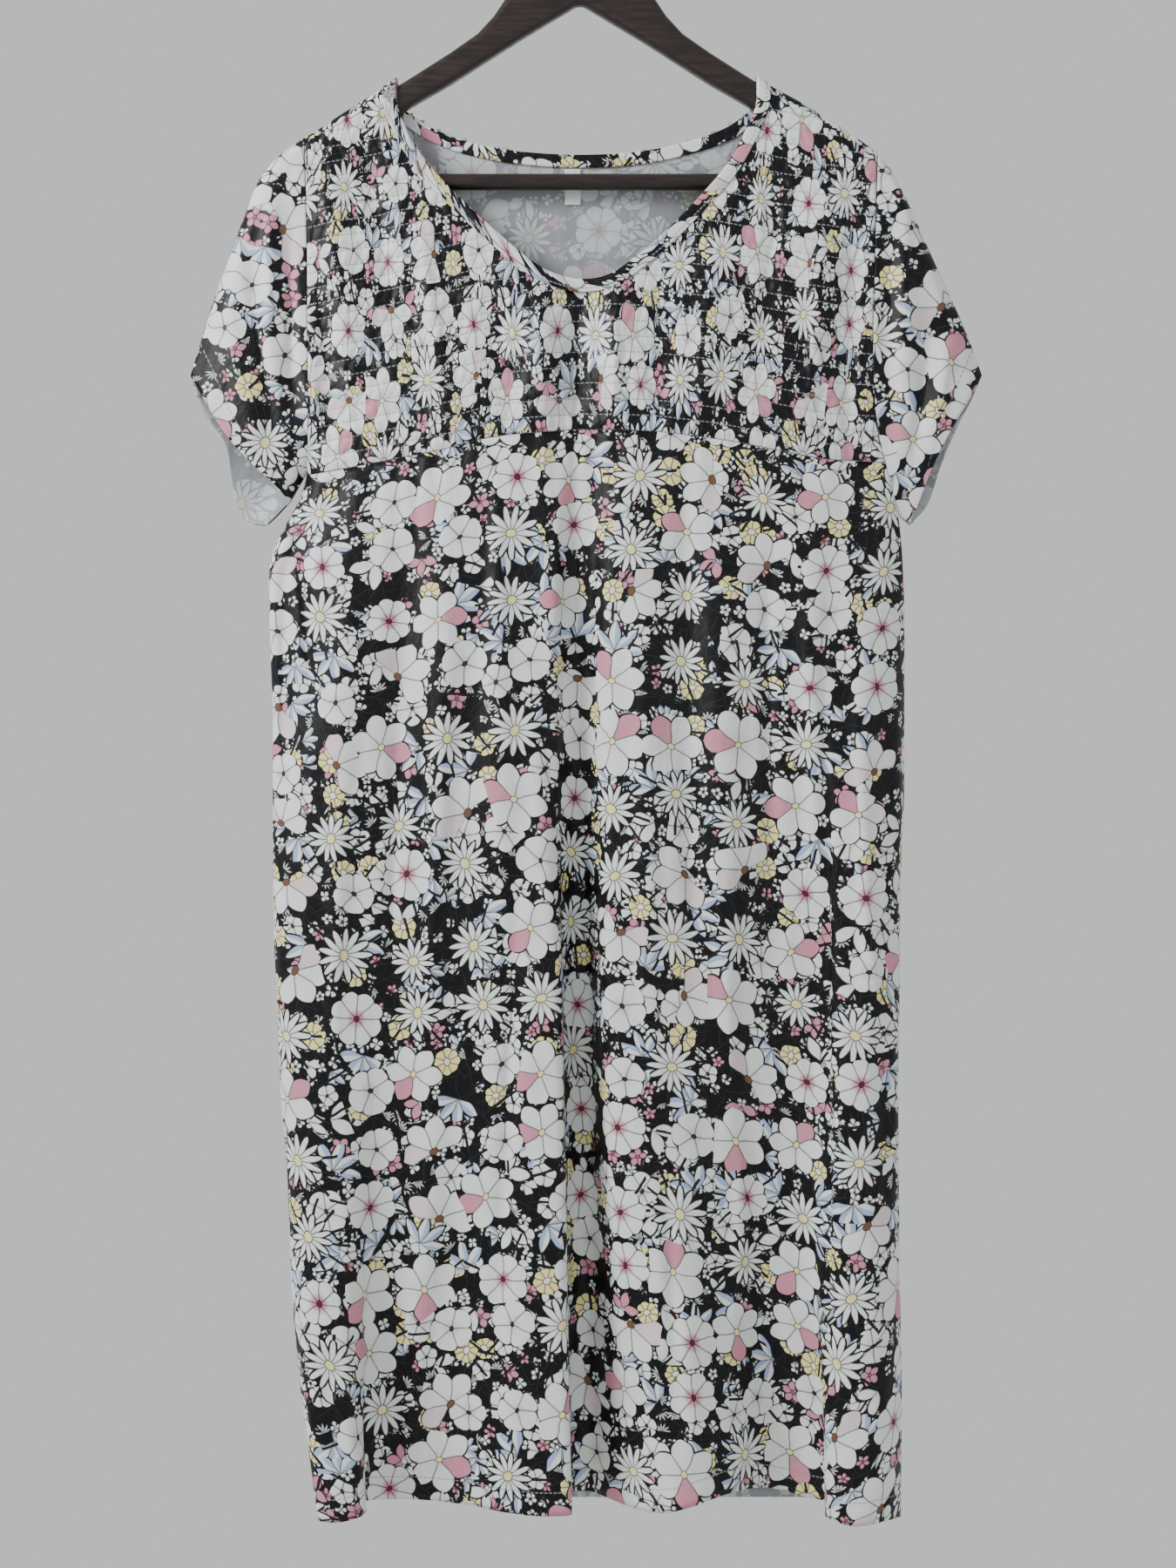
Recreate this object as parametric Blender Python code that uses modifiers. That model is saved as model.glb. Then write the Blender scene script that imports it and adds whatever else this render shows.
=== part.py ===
"""A plus-size casual dress with a shirred front yoke, hanging on a dark wooden hanger.

Metres in the file, millimetres in the tables. +Z is up, -Y is the wearer's front, +X is the viewer's right.
The origin is the bearing point inside the top of the hanger's hook.
"""

import math

import bmesh
import bpy
from mathutils import Vector

MM = 0.001

# Sizes of the cloth and its seams, in millimetres.
WALL = 1.2
SEAM_GAP = 0.3
SIDE_GAP = 0.5
BINDING_WIDTH = 9.0
BINDING_WALL = 1.4
LABEL_WIDTH = 12.0
LABEL_HEIGHT = 26.0
LABEL_WALL = 1.0
SHIRR_PITCH = 11.3
SHIRR_ROWS = 25
SHIRR_RISE = 0.9
GATHER_RISE = 0.5

# Sizes of the hanger, in millimetres.
BOARD = 13.0
BOARD_ROUND = 6.0
NIB_INSIDE = 203.0
BAR_RADIUS = 6.0
BAR_HEIGHT = -222.6
BAR_SIDES = 20
WIRE_RADIUS = 1.8
HOOK_INSIDE = 19.0
HANGER_TOP = -70.0

# The cloth passes over the board in an arc this wide and this high.
OVER_HALF = 7.5
OVER_RISE = 8.6

# The tables are sized on a plane this far in front of the hook, seen from the eye at this distance from it.
PLANE = -30.0
EYE_AWAY = 1350.0
EYE_BLEND = 200.0
EYE_X = 5.8
EYE_Z = -668.3

# Depth of the cloth at the arms, at the bust seam and at the side seams.
ARMS_BOTTOM = -225.0
SIDE_ROUND = 16.0
LEFT_SIDE_Y = -1.0
RIGHT_SIDE_Y = -5.0
LEFT_UNDERARM = -440.0
RIGHT_UNDERARM = -470.0
SEAM_LEFT_EDGE = -202.0
SEAM_RIGHT_EDGE = 226.0
ARMHOLE_TOP_LEFT = -203.0
ARMHOLE_TOP_RIGHT = 219.0
ARMHOLE_ROUND = 60.0
SHOULDER_END = -190.0

# The dip of the front below the V.
VALLEY_X = -3.0
VALLEY_DEPTH = 2.0
VALLEY_WIDTH = 20.0
VALLEY_TOP = -290.0
VALLEY_BLEND = 60.0

# The back's hem and its one lower tip, placed by its share of the width.
BACK_HEM = -1196.0
HEM_TIP = 14.0
HEM_TIP_SHARE = 0.36
HEM_TIP_WIDTH = 0.035

# The cloth's turn over the board in degrees, from its first row at the front to the back.
FIRST_TURN = -88.0
WHOLE_TURN = 178.0

# Bare size label inside the back neck, and the cutters.
LABEL_LEFT = -11.6
LABEL_TOP = -210.5
CUTTER_TOP = -40.0
CUTTER_HALF = 60.0

# Columns: x, z of the upper line of the cloth over the hanger.
SHOULDER = (
    (-213, -196.5), (-194, -185), (-172, -170.5), (-146, -154.5), (-120, -140), (120, -140),
    (141, -152.5), (170, -168.5), (203, -190), (222, -203.5),
)
# Columns: x, z of the inner edge of the neck binding at the front.
NECK_FRONT = (
    (-136, -164), (-134, -174), (-121, -200), (-101, -225), (-70, -255), (-35, -285), (-14, -295),
    (6, -297.5), (26, -292), (55, -270), (83, -242), (109, -212), (127, -178), (131, -164),
)
# Columns: x, z of the inner edge of the neck binding at the back.
NECK_BACK = (
    (-136, -164), (-126, -171), (-108, -182), (-83, -191), (-45, -198), (0, -200.5), (45, -198),
    (83, -190), (108, -181), (123, -171), (131, -164),
)
# Columns: x, z of the seam under the yoke.
BUST_SEAM = (
    (-203, -440), (-170, -434), (-139, -428), (-103, -421), (-62, -411), (-17, -407), (3, -406), (48, -407),
    (88, -411), (120, -416), (150, -422), (185, -428), (226, -430.5),
)
# Columns: z, x of the left edge of the body, down the armhole and then down the side.
LEFT_EDGE = (
    (-1212, -193), (-1184, -197), (-1120, -206), (-1041, -213), (-959, -216), (-897, -221), (-835, -223.5),
    (-774, -226), (-696, -227), (-624, -227), (-564, -229), (-520, -230), (-500, -228), (-478, -218),
    (-459, -208), (-440, -202), (-380, -201), (-281, -201), (-180, -203),
)
# Columns: z, x of the right edge of the body, down the armhole and then down the side.
RIGHT_EDGE = (
    (-1212, 237), (-1120, 237.5), (-1020, 236), (-897, 235), (-815, 236), (-733, 237), (-668, 239),
    (-540, 239), (-500, 238), (-483, 236.5), (-470, 235), (-451, 231), (-430, 226), (-409, 221), (-388, 218),
    (-346, 216),
    (-270, 217), (-180, 219),
)
# Columns: z, y of the side seams.
LEFT_SEAM_DEPTH = ((-1212, -6), (-800, -4), (-560, -2), (-440, LEFT_SIDE_Y))
RIGHT_SEAM_DEPTH = ((-1212, -6), (-800, -5), (-470, RIGHT_SIDE_Y))
# Columns: x, y of the front along the bust seam: fullest over the bust, with a soft valley in the middle.
BUST_DEPTH = (
    (-202, -15), (-170, -19), (-126, -23), (-70, -26), (-30, -26.5), (-9, -22), (0, -21), (9, -22),
    (28, -27.5), (70, -27.5), (116, -25), (170, -20), (217, -11),
)
# Columns: z, y of the back in the middle.
BACK_DEPTH = (
    (-1240, 33), (-1000, 29), (-800, 25), (-560, 20), (-411, 15), (-300, 13), (-225, 11), (-205, 8.5),
    (-180, 7.5), (-140, 7.5),
)
# A row for each fold of the back. Columns: x at the hem, width, depth at the hem, z where it starts.
BACK_FOLDS = (
    (-150, 26, 11, -620), (-92, 20, -8, -760), (-36, 24, 10, -680), (30, 22, -9, -560), (88, 26, 12, -700),
    (140, 22, -8, -820),
    (190, 22, 9, -640),
)
# Lower front, a row for each bend of the cloth. Columns: x at the seam, x and y at z -560, x and y at z -800,
# x, y and z at the hem.
UPPER_Z = -560.0
MIDDLE_Z = -800.0
FRONT = (
    (-202, -229, -2, -226, -4, -193, -6, -1211),
    (-201.5, -230.5, -9, -228, -14, -195, -21, -1211),
    (-198, -227, -15, -226, -24, -199, -42, -1212),
    (-191, -220, -14.5, -219, -31, -198, -60, -1214),
    (-181, -213, -20, -205, -34, -183, -66, -1215),
    (-166, -199, -27, -186, -35, -167, -62, -1211),
    (-148, -180, -29, -166, -34, -161, -48, -1206),
    (-126, -155, -30, -146, -32, -162, -31, -1200),
    (-104, -128, -30, -124, -31, -151, -21, -1198),
    (-84, -98, -31, -98, -32, -118, -19, -1198),
    (-64, -72, -32, -76, -35, -82, -22, -1202),
    (-46, -48, -33, -54, -39, -58, -36, -1207),
    (-32, -30, -34, -33, -42, -34, -42, -1210),
    (-22, -20, -34, -20, -42.5, -10, -44, -1210),
    (-15, -16, -29, -15, -36, -6.5, -37, -1207),
    (-8, -12, -21, -13, -20, -9, -14, -1196),
    (0, -2, -17, -5, -7, -4, 2, -1192),
    (8, 8, -19, 6, -7, 9, 5, -1192),
    (15, 14, -27, 13, -22, 24, -8, -1198),
    (23, 21, -34, 19, -37, 42, -24, -1205),
    (40, 36, -36, 34, -42, 62, -40, -1208),
    (62, 62, -35, 62, -42, 84, -45, -1203),
    (88, 92, -34, 92, -38, 108, -33, -1194),
    (116, 124, -33, 122, -33, 132, -10, -1189),
    (140, 152, -32, 148, -28, 150, -2, -1191),
    (160, 176, -31, 168, -26, 168, -8, -1196),
    (176, 190, -30.5, 180, -28, 182, -17, -1199),
    (184, 200, -30, 186, -31, 187, -28, -1203),
    (190, 207, -29.5, 188, -37, 182, -46, -1209),
    (197, 214, -28.5, 194, -40, 188, -62, -1214),
    (204, 222, -26, 208, -41, 206, -67, -1218),
    (209, 230, -21.5, 224, -37, 226, -62, -1214),
    (212.5, 236, -14, 235, -27, 236, -44, -1211),
    (219, 238.5, -8, 237, -14, 237.5, -24, -1211),
    (225.5, 238, -5, 236, -5, 234, -6, -1211),
)
# Columns: share of the sleeve from armhole to hem, x, z of its upper fold.
LEFT_FOLD = (
    (0, -203.5, -190.5), (0.15, -221, -202), (0.3, -238, -222), (0.45, -250, -253), (0.62, -261, -282),
    (0.8, -273, -317), (1, -288, -366),
)
RIGHT_FOLD = (
    (0, 219.5, -201.8), (0.12, 229, -213), (0.3, 244, -242), (0.5, 259, -276), (0.7, 275, -311),
    (0.85, 286, -336), (1, 297, -366),
)
# Columns: share round the sleeve hem from its upper fold to the underarm, x, y, z.
LEFT_HEM_FRONT = (
    (0, -288, 0, -366), (0.12, -279, -8, -382), (0.35, -263, -13, -409), (0.6, -240, -14, -434),
    (0.85, -222, -10, -451), (1, -215, 0, -460),
)
LEFT_HEM_BACK = (
    (0, -288, 0, -366), (0.12, -281, 7, -389), (0.35, -262, 13, -419), (0.55, -257, 16, -449),
    (0.75, -249, 16, -472), (0.9, -234, 9, -477), (1, -215, 0, -460),
)
RIGHT_HEM_FRONT = (
    (0, 297, 0, -366), (0.12, 290, -8, -380), (0.35, 277, -13, -402), (0.6, 265, -14, -425),
    (0.8, 256, -11, -446), (1, 244, -5, -477),
)
RIGHT_HEM_BACK = (
    (0, 297, 0, -366), (0.12, 291, 7, -381), (0.35, 279, 12, -405), (0.6, 267, 12, -433),
    (0.8, 257, 7, -462), (1, 244, -5, -477),
)
# Half outline of the hanger's arms. Columns: x, z.
ARM_UPPER = (
    (11, HANGER_TOP), (30, -74), (46, -80), (56, -89), (64, -101), (76, -114), (96, -128), (118, -142),
    (140, -155.8), (168, -172), (192, -188), (207, -199.8),
)
ARM_LOWER = (
    (213, -205), (216, -213), (216, -226), (212, -231), (205, -231), (203, -227), (203, -214),
    (190, -206), (134, -172.5), (95, -150), (45, -118), (0, -91),
)


def value(table, key, column=1):
    """Smooth value of a column at a key, from rows in rising order of the first column."""
    if key <= table[0][0]:
        return float(table[0][column])
    if key >= table[-1][0]:
        return float(table[-1][column])
    place = 0
    while table[place + 1][0] < key:
        place += 1
    k0, k1 = table[place][0], table[place + 1][0]
    v0, v1 = table[place][column], table[place + 1][column]
    span = k1 - k0
    here = (v1 - v0) / span
    before = here
    after = here
    if place > 0:
        before = (v0 - table[place - 1][column]) / (k0 - table[place - 1][0])
    if place + 2 < len(table):
        after = (table[place + 2][column] - v1) / (table[place + 2][0] - k1)
    m0 = 0.0 if before * here <= 0 else 2 * before * here / (before + here)
    m1 = 0.0 if after * here <= 0 else 2 * after * here / (after + here)
    t = (key - k0) / span
    return (
        v0 * (2 * t ** 3 - 3 * t ** 2 + 1)
        + m0 * span * (t ** 3 - 2 * t ** 2 + t)
        + v1 * (3 * t ** 2 - 2 * t ** 3)
        + m1 * span * (t ** 3 - t ** 2)
    )


def ease(t):
    """Soft step from 0 to 1."""
    t = min(1.0, max(0.0, t))
    return t * t * (3 - 2 * t)


def quarter(t):
    """Height of a quarter round at a share of its width."""
    t = min(1.0, max(0.0, t))
    return math.sqrt(1 - (1 - t) ** 2)


def seen(x, y, z):
    """The point in metres at depth y that the eye sees at x and z of the table plane.

    Round the board every depth counts as 0, so the cloth follows it squarely.
    """
    grow = (EYE_AWAY + y * ease((ARMS_BOTTOM - z) / EYE_BLEND) - PLANE) / EYE_AWAY
    return Vector(((EYE_X + (x - EYE_X) * grow) * MM, y * MM, (EYE_Z + (z - EYE_Z) * grow) * MM))


def edge_share(z, underarm):
    """How far the armhole stands open at a height: 1 above, 0 at the underarm."""
    return quarter((z - underarm) / ARMHOLE_ROUND)


def side_y(side, z):
    """Depth of the side seam on the left (-1) or right (1)."""
    return value(LEFT_SEAM_DEPTH if side < 0 else RIGHT_SEAM_DEPTH, z)


def rounded(inner, x, z):
    """Depth of a panel at x, z: its own depth, brought round to the side seam or armhole at each edge."""
    left, right = value(LEFT_EDGE, z), value(RIGHT_EDGE, z)
    near_left = x - left < right - x
    side = -1 if near_left else 1
    away = x - left if near_left else right - x
    underarm = LEFT_UNDERARM if near_left else RIGHT_UNDERARM
    keep = max(edge_share(z, underarm), quarter(away / SIDE_ROUND))
    middle = side_y(side, z)
    return middle + (inner - middle) * keep


def yoke_y(x, z):
    """Depth of the front above the bust seam."""
    seam = value(BUST_SEAM, x)
    share = ease((ARMS_BOTTOM - z) / (ARMS_BOTTOM - seam))
    flat = -OVER_HALF
    valley = VALLEY_DEPTH * math.exp(-((x - VALLEY_X) / VALLEY_WIDTH) ** 2)
    valley *= ease((VALLEY_TOP - z) / VALLEY_BLEND)
    return rounded(flat + (value(BUST_DEPTH, x) - flat) * share, x, z) + valley * (1 - share) * share * 4


def back_y(x, z):
    """Depth of the back at x, z, with its folds."""
    depth = value(BACK_DEPTH, z)
    for hem_x, width, fold, starts in BACK_FOLDS:
        open_share = ease((starts - z) / (starts - BACK_HEM + HEM_TIP))
        depth += fold * open_share * math.exp(-(((x - hem_x) / width) ** 2))
    return rounded(depth, x, z)


def over_arm(x, turn):
    """The cloth across the board at a turn from -90 (front) to 90 (back) degrees."""
    swing = math.radians(turn)
    top = value(SHOULDER, x)
    return (x, OVER_HALF * math.sin(swing), top - OVER_RISE * (1 - math.cos(swing)))


def along(points, count):
    """Evenly spaced points on a smooth curve through the given points."""
    fine = []
    last = len(points) - 1
    for i in range(last):
        p0 = points[max(0, i - 1)]
        p1, p2 = points[i], points[i + 1]
        p3 = points[min(last, i + 2)]
        for step in range(8):
            t = step / 8
            fine.append(tuple(
                0.5 * (2 * b + (c - a) * t + (2 * a - 5 * b + 4 * c - d) * t ** 2)
                + 0.5 * (3 * b - a - 3 * c + d) * t ** 3
                for a, b, c, d in zip(p0, p1, p2, p3)
            ))
    fine.append(tuple(points[last]))
    lengths = [0.0]
    for a, b in zip(fine, fine[1:]):
        lengths.append(lengths[-1] + math.dist(a, b))
    found = []
    place = 0
    for i in range(count + 1):
        wanted = lengths[-1] * i / count
        while place < len(lengths) - 2 and lengths[place + 1] < wanted:
            place += 1
        t = (wanted - lengths[place]) / (lengths[place + 1] - lengths[place])
        found.append(tuple(a + (b - a) * t for a, b in zip(fine[place], fine[place + 1])))
    return found


SKIRT_COLUMNS = 52
SKIRT_ROWS = 14
EDGE_SHARE = 0.25
EDGE_COLUMNS = 8
BACK_EDGE_SHARES = (0.0, 0.001, 0.008, 0.025, 0.05)
BACK_MIDDLE = 17
BACK_COLUMNS = BACK_MIDDLE + 2 * len(BACK_EDGE_SHARES)
HALF_RING = 14
OVER_SHARE = 0.1
BACK_OVER_ROWS = 6
BACK_LOWER_ROWS = 12
BACK_ROWS = BACK_OVER_ROWS + HALF_RING - 1 + BACK_LOWER_ROWS
YOKE_COLUMNS = 40


def skirt_levels():
    """Four sections of the lower front, each as evenly spaced points (x, y, z)."""
    seam, upper, middle, hem = [], [], [], []
    for seam_x, ux, uy, mx, my, hx, hy, hz in FRONT:
        z = value(BUST_SEAM, seam_x) - SEAM_GAP
        seam.append((seam_x, yoke_y(seam_x, z), z))
        upper.append((ux, uy, UPPER_Z))
        middle.append((mx, my, MIDDLE_Z))
        hem.append((hx, hy, hz))
    found = [along(level, SKIRT_COLUMNS) for level in (seam, upper, middle, hem)]
    for place, (x, _, _) in enumerate(found[0]):
        z = value(BUST_SEAM, x) - SEAM_GAP
        found[0][place] = (x, yoke_y(x, z), z)
    return found


LEVELS = skirt_levels()


def between_levels(place, column, z):
    """A coordinate (0 for x, 1 for y) of one column of the lower front at a height."""
    return value(tuple((level[place][2], level[place][column]) for level in reversed(LEVELS)), z)


def skirt_column(place, z_share):
    """A point (x, y, z) of the lower front on one column, 0 at the bust seam and 1 at the hem."""
    top, bottom = LEVELS[0][place][2], LEVELS[3][place][2]
    z = top + (bottom - top) * z_share
    x, y = between_levels(place, 0, z), between_levels(place, 1, z)
    share = place / SKIRT_COLUMNS
    if share < EDGE_SHARE:
        plain = min(between_levels(near, 0, z) for near in range(EDGE_COLUMNS))
        x += (value(LEFT_EDGE, z) - plain) * ease(1 - share / EDGE_SHARE)
    if share > 1 - EDGE_SHARE:
        plain = max(between_levels(SKIRT_COLUMNS - near, 0, z) for near in range(EDGE_COLUMNS))
        x += (value(RIGHT_EDGE, z) - plain) * ease((share - 1 + EDGE_SHARE) / EDGE_SHARE)
    return x, y, z


def skirt_side(side, z):
    """The edge of the lower front at a height: (x, y)."""
    place = 0 if side < 0 else SKIRT_COLUMNS
    top, bottom = LEVELS[0][place][2], LEVELS[3][place][2]
    x, y, _ = skirt_column(place, min(1.0, max(0.0, (z - top) / (bottom - top))))
    return x, y


def skirt_point(u, v):
    return seen(*skirt_column(round(u * SKIRT_COLUMNS), v))


def back_share(column):
    """Share of the width at a column of the back, close together near the sides."""
    edge = len(BACK_EDGE_SHARES)
    if column < edge:
        return BACK_EDGE_SHARES[column]
    if column > BACK_COLUMNS - edge:
        return 1.0 - BACK_EDGE_SHARES[BACK_COLUMNS - column]
    first = BACK_EDGE_SHARES[-1]
    return first + (1 - 2 * first) * (column - edge + 1) / (BACK_MIDDLE + 2)


def armhole_fall(run):
    """Share of the armhole's height reached at a share of its rows."""
    return math.sin(min(1.0, max(0.0, run)) * math.pi / 2) ** 1.2


def ring_run(step):
    """Share of the armhole's rows at a step of the sleeve's half ring, after the part over the hanger."""
    return (step / HALF_RING - OVER_SHARE) / (1 - OVER_SHARE)


def back_point(u, v):
    """The back: its first rows pass over the hanger, then follow the armhole, then hang to the hem."""
    row = round(v * BACK_ROWS)
    share = back_share(round(u * BACK_COLUMNS))
    left, right = value(LEFT_EDGE, SHOULDER_END), value(RIGHT_EDGE, SHOULDER_END)
    x = left + (right - left) * share
    if row <= BACK_OVER_ROWS:
        return seen(*over_arm(x, FIRST_TURN + WHOLE_TURN * row / BACK_OVER_ROWS))
    top = value(SHOULDER, x) - OVER_RISE
    underarm = LEFT_UNDERARM + (RIGHT_UNDERARM - LEFT_UNDERARM) * share
    below = row - BACK_OVER_ROWS - HALF_RING + 1
    if below <= 0:
        z = top + (underarm - top) * armhole_fall(ring_run(HALF_RING + below))
    else:
        fall = (below / BACK_LOWER_ROWS) ** 1.25
        hem = BACK_HEM - HEM_TIP * math.exp(-(((share - HEM_TIP_SHARE) / HEM_TIP_WIDTH) ** 2))
        z = underarm + (hem - underarm) * fall
    left, right = value(LEFT_EDGE, z), value(RIGHT_EDGE, z)
    x = left + (right - left) * share
    side = -1 if u == 0 else 1
    if u in (0.0, 1.0) and below > 0:
        edge_x, edge_y = skirt_side(side, z)
        return seen(edge_x, edge_y + SIDE_GAP, z)
    return seen(x, back_y(x, z) + SEAM_GAP, z)


def yoke_inside(u, v):
    """The plain inside of the yoke, in rows parallel to the bust seam."""
    rise = SHIRR_PITCH * SHIRR_ROWS * (1 - v)
    x = SEAM_LEFT_EDGE + (SEAM_RIGHT_EDGE - SEAM_LEFT_EDGE) * u
    z = value(BUST_SEAM, x) + rise
    left, right = value(LEFT_EDGE, z), value(RIGHT_EDGE, z)
    x = left + (right - left) * u
    z = value(BUST_SEAM, x) + rise
    return x, yoke_y(x, z) + WALL / 2, z


def yoke_outside(u, v):
    """The outside: a puff between each two rows of stitching, rippled across by the gathers."""
    x, y, z = yoke_inside(u, v)
    row = round((1 - v) * SHIRR_ROWS * 2)
    column = round(u * YOKE_COLUMNS)
    puff = SHIRR_RISE if row % 2 else 0.0
    ripple = GATHER_RISE * (1 if (column + row // 2) % 2 else -1) * (1 if row % 2 else 0.3)
    border = row in (0, 2 * SHIRR_ROWS) or column in (0, YOKE_COLUMNS)
    rise = 0.0 if border else puff + ripple
    return x, y - WALL - max(0.0, rise), z


def armhole(side, share):
    """A point of the armhole: share 0 at the top, -1 down the front and 1 down the back at the underarm."""
    top_x = ARMHOLE_TOP_LEFT if side < 0 else ARMHOLE_TOP_RIGHT
    top = value(SHOULDER, top_x)
    underarm = (LEFT_UNDERARM if side < 0 else RIGHT_UNDERARM) + WALL / 2 + SEAM_GAP
    fall = abs(share)
    edge = LEFT_EDGE if side < 0 else RIGHT_EDGE
    if fall <= OVER_SHARE:
        x, y, z = over_arm(top_x, 90 * share / OVER_SHARE)
        return (value(edge, z) + side * SEAM_GAP, y, z)
    start = top - OVER_RISE
    run = ring_run(fall * HALF_RING)
    z = start + (underarm - start) * armhole_fall(run)
    x = value(edge, z)
    if share < 0:
        y = yoke_y(x, z)
    else:
        y = back_y(x, z) + SEAM_GAP
    if run > 0.999:
        y = LEFT_SIDE_Y if side < 0 else RIGHT_SIDE_Y
    closing = 1 - edge_share(z, LEFT_UNDERARM if side < 0 else RIGHT_UNDERARM)
    return (x + side * (SEAM_GAP + WALL * closing), y, z)


SLEEVE_ROUND = 2 * HALF_RING
SLEEVE_ROWS = 9


def sleeve_point(side, u, v):
    """A sleeve from armhole (v 0) to hem (v 1); u goes from the underarm up the front and down the back."""
    fold = LEFT_FOLD if side < 0 else RIGHT_FOLD
    front = LEFT_HEM_FRONT if side < 0 else RIGHT_HEM_FRONT
    back = LEFT_HEM_BACK if side < 0 else RIGHT_HEM_BACK
    share = 2 * u - 1
    fall = abs(share)
    start = armhole(side, share)
    rows = front if share < 0 else back
    end = tuple(value(rows, fall, column) for column in (1, 2, 3))
    top_start, top_end = armhole(side, 0.0), front[0][1:]
    keep = (1 - fall) ** 2
    x = start[0] + (end[0] - start[0]) * v
    z = start[2] + (end[2] - start[2]) * v
    x += (value(fold, v, 1) - top_start[0] - (top_end[0] - top_start[0]) * v) * keep
    z += (value(fold, v, 2) - top_start[2] - (top_end[2] - top_start[2]) * v) * keep
    y = start[1] + (end[1] - start[1]) * v
    return seen(x, y, z)


NECK_FRONT_STEPS = 30
NECK_BACK_STEPS = 22
NECK_TURNS = (-72, -36, 0, 36, 72)
NECK_LOOP = NECK_FRONT_STEPS + NECK_BACK_STEPS + 2 + 2 * len(NECK_TURNS)


def neck_outer(points, width):
    """Points moved out from a neck edge by a width, square to the edge."""
    moved = []
    for i, (x, z) in enumerate(points):
        ahead = points[min(len(points) - 1, i + 1)]
        behind = points[max(0, i - 1)]
        dx, dz = ahead[0] - behind[0], ahead[1] - behind[1]
        if i in (0, len(points) - 1):
            dx, dz = 0.0, (-1.0 if i == 0 else 1.0)
        size = math.hypot(dx, dz)
        moved.append((x + dz / size * width, z - dx / size * width))
    return moved


def binding_point(u, v):
    """The binding: u goes along the front, over the right arm, along the back and over the left arm."""
    place = round(u * NECK_LOOP) % NECK_LOOP
    width = BINDING_WIDTH * v
    if place <= NECK_FRONT_STEPS:
        x, z = neck_outer(along(NECK_FRONT, NECK_FRONT_STEPS), width)[place]
        return seen(x, yoke_y(x, z), z)
    place -= NECK_FRONT_STEPS + 1
    if place < len(NECK_TURNS):
        return seen(*over_arm(NECK_FRONT[-1][0] + width, NECK_TURNS[place]))
    place -= len(NECK_TURNS)
    if place <= NECK_BACK_STEPS:
        x, z = neck_outer(along(NECK_BACK, NECK_BACK_STEPS), width)[NECK_BACK_STEPS - place]
        return seen(x, back_y(x, z) + SEAM_GAP, z)
    place -= NECK_BACK_STEPS + 1
    return seen(*over_arm(NECK_FRONT[0][0] - width, -NECK_TURNS[place]))


def clear_scene():
    """Removes every object of the startup scene."""
    for thing in list(bpy.data.objects):
        bpy.data.objects.remove(thing, do_unlink=True)


def collection(name):
    """A new collection in the scene."""
    made = bpy.data.collections.new(name)
    bpy.context.scene.collection.children.link(made)
    return made


def material(name, colour, roughness, metallic=0.0):
    """A plain material for one node."""
    made = bpy.data.materials.new(name)
    made.use_nodes = True
    shader = made.node_tree.nodes["Principled BSDF"]
    shader.inputs["Base Color"].default_value = (*colour, 1.0)
    shader.inputs["Roughness"].default_value = roughness
    shader.inputs["Metallic"].default_value = metallic
    return made


def add(name, mesh_source, where, finish):
    """Adds a named object made from a bmesh."""
    mesh = bpy.data.meshes.new(name)
    mesh_source.to_mesh(mesh)
    mesh_source.free()
    thing = bpy.data.objects.new(name, mesh)
    where.objects.link(thing)
    if finish:
        mesh.materials.append(finish)
    return thing


def cloth(name, columns, rows, point, where, finish, wall=WALL, closed=False):
    """A wall of cloth through the points of a grid."""
    shape = bmesh.new()
    bmesh.ops.create_grid(shape, x_segments=columns, y_segments=rows, size=0.5)
    for vert in shape.verts:
        u = round((vert.co.x + 0.5) * columns) / columns
        v = round((0.5 - vert.co.y) * rows) / rows
        vert.co = point(u, v)
    if closed:
        bmesh.ops.remove_doubles(shape, verts=shape.verts, dist=1e-6)
    thing = add(name, shape, where, finish)
    solid = thing.modifiers.new("wall", "SOLIDIFY")
    solid.thickness = wall * MM
    solid.offset = 0.0
    solid.use_quality_normals = True
    return thing


def shirred(name, where, finish):
    """The yoke: a raised outside over a plain inside."""
    shape = bmesh.new()
    rows = 2 * SHIRR_ROWS
    bmesh.ops.create_grid(shape, x_segments=YOKE_COLUMNS, y_segments=rows, size=0.5)
    inside = list(shape.verts)
    copied = bmesh.ops.duplicate(shape, geom=shape.verts[:] + shape.edges[:] + shape.faces[:])
    outside = [item for item in copied["geom"] if isinstance(item, bmesh.types.BMVert)]
    for verts, point in ((inside, yoke_inside), (outside, yoke_outside)):
        for vert in verts:
            u = round((vert.co.x + 0.5) * YOKE_COLUMNS) / YOKE_COLUMNS
            v = round((0.5 - vert.co.y) * rows) / rows
            vert.co = seen(*point(u, v))
    rims = [edge for edge in shape.edges if edge.is_boundary]
    bmesh.ops.bridge_loops(shape, edges=rims)
    shape.normal_update()
    bmesh.ops.recalc_face_normals(shape, faces=shape.faces)
    return add(name, shape, where, finish)


def prism(name, outline, where):
    """A closed prism along Y from an outline of (x, z) sized on the table plane."""
    shape = bmesh.new()
    front = [shape.verts.new(seen(x, -CUTTER_HALF, z)) for x, z in outline]
    face = shape.faces.new(front)
    grown = bmesh.ops.extrude_face_region(shape, geom=[face])
    moved = [item for item in grown["geom"] if isinstance(item, bmesh.types.BMVert)]
    for vert, (x, z) in zip(moved, outline):
        vert.co = seen(x, CUTTER_HALF, z)
    shape.normal_update()
    bmesh.ops.recalc_face_normals(shape, faces=shape.faces)
    cutter = add(name, shape, where, None)
    cutter.hide_render = True
    cutter.display_type = "WIRE"
    return cutter


def cut(thing, cutter):
    """Takes a cutter's shape out of a piece."""
    step = thing.modifiers.new(cutter.name, "BOOLEAN")
    step.operation = "DIFFERENCE"
    step.solver = "EXACT"
    step.object = cutter


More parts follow.
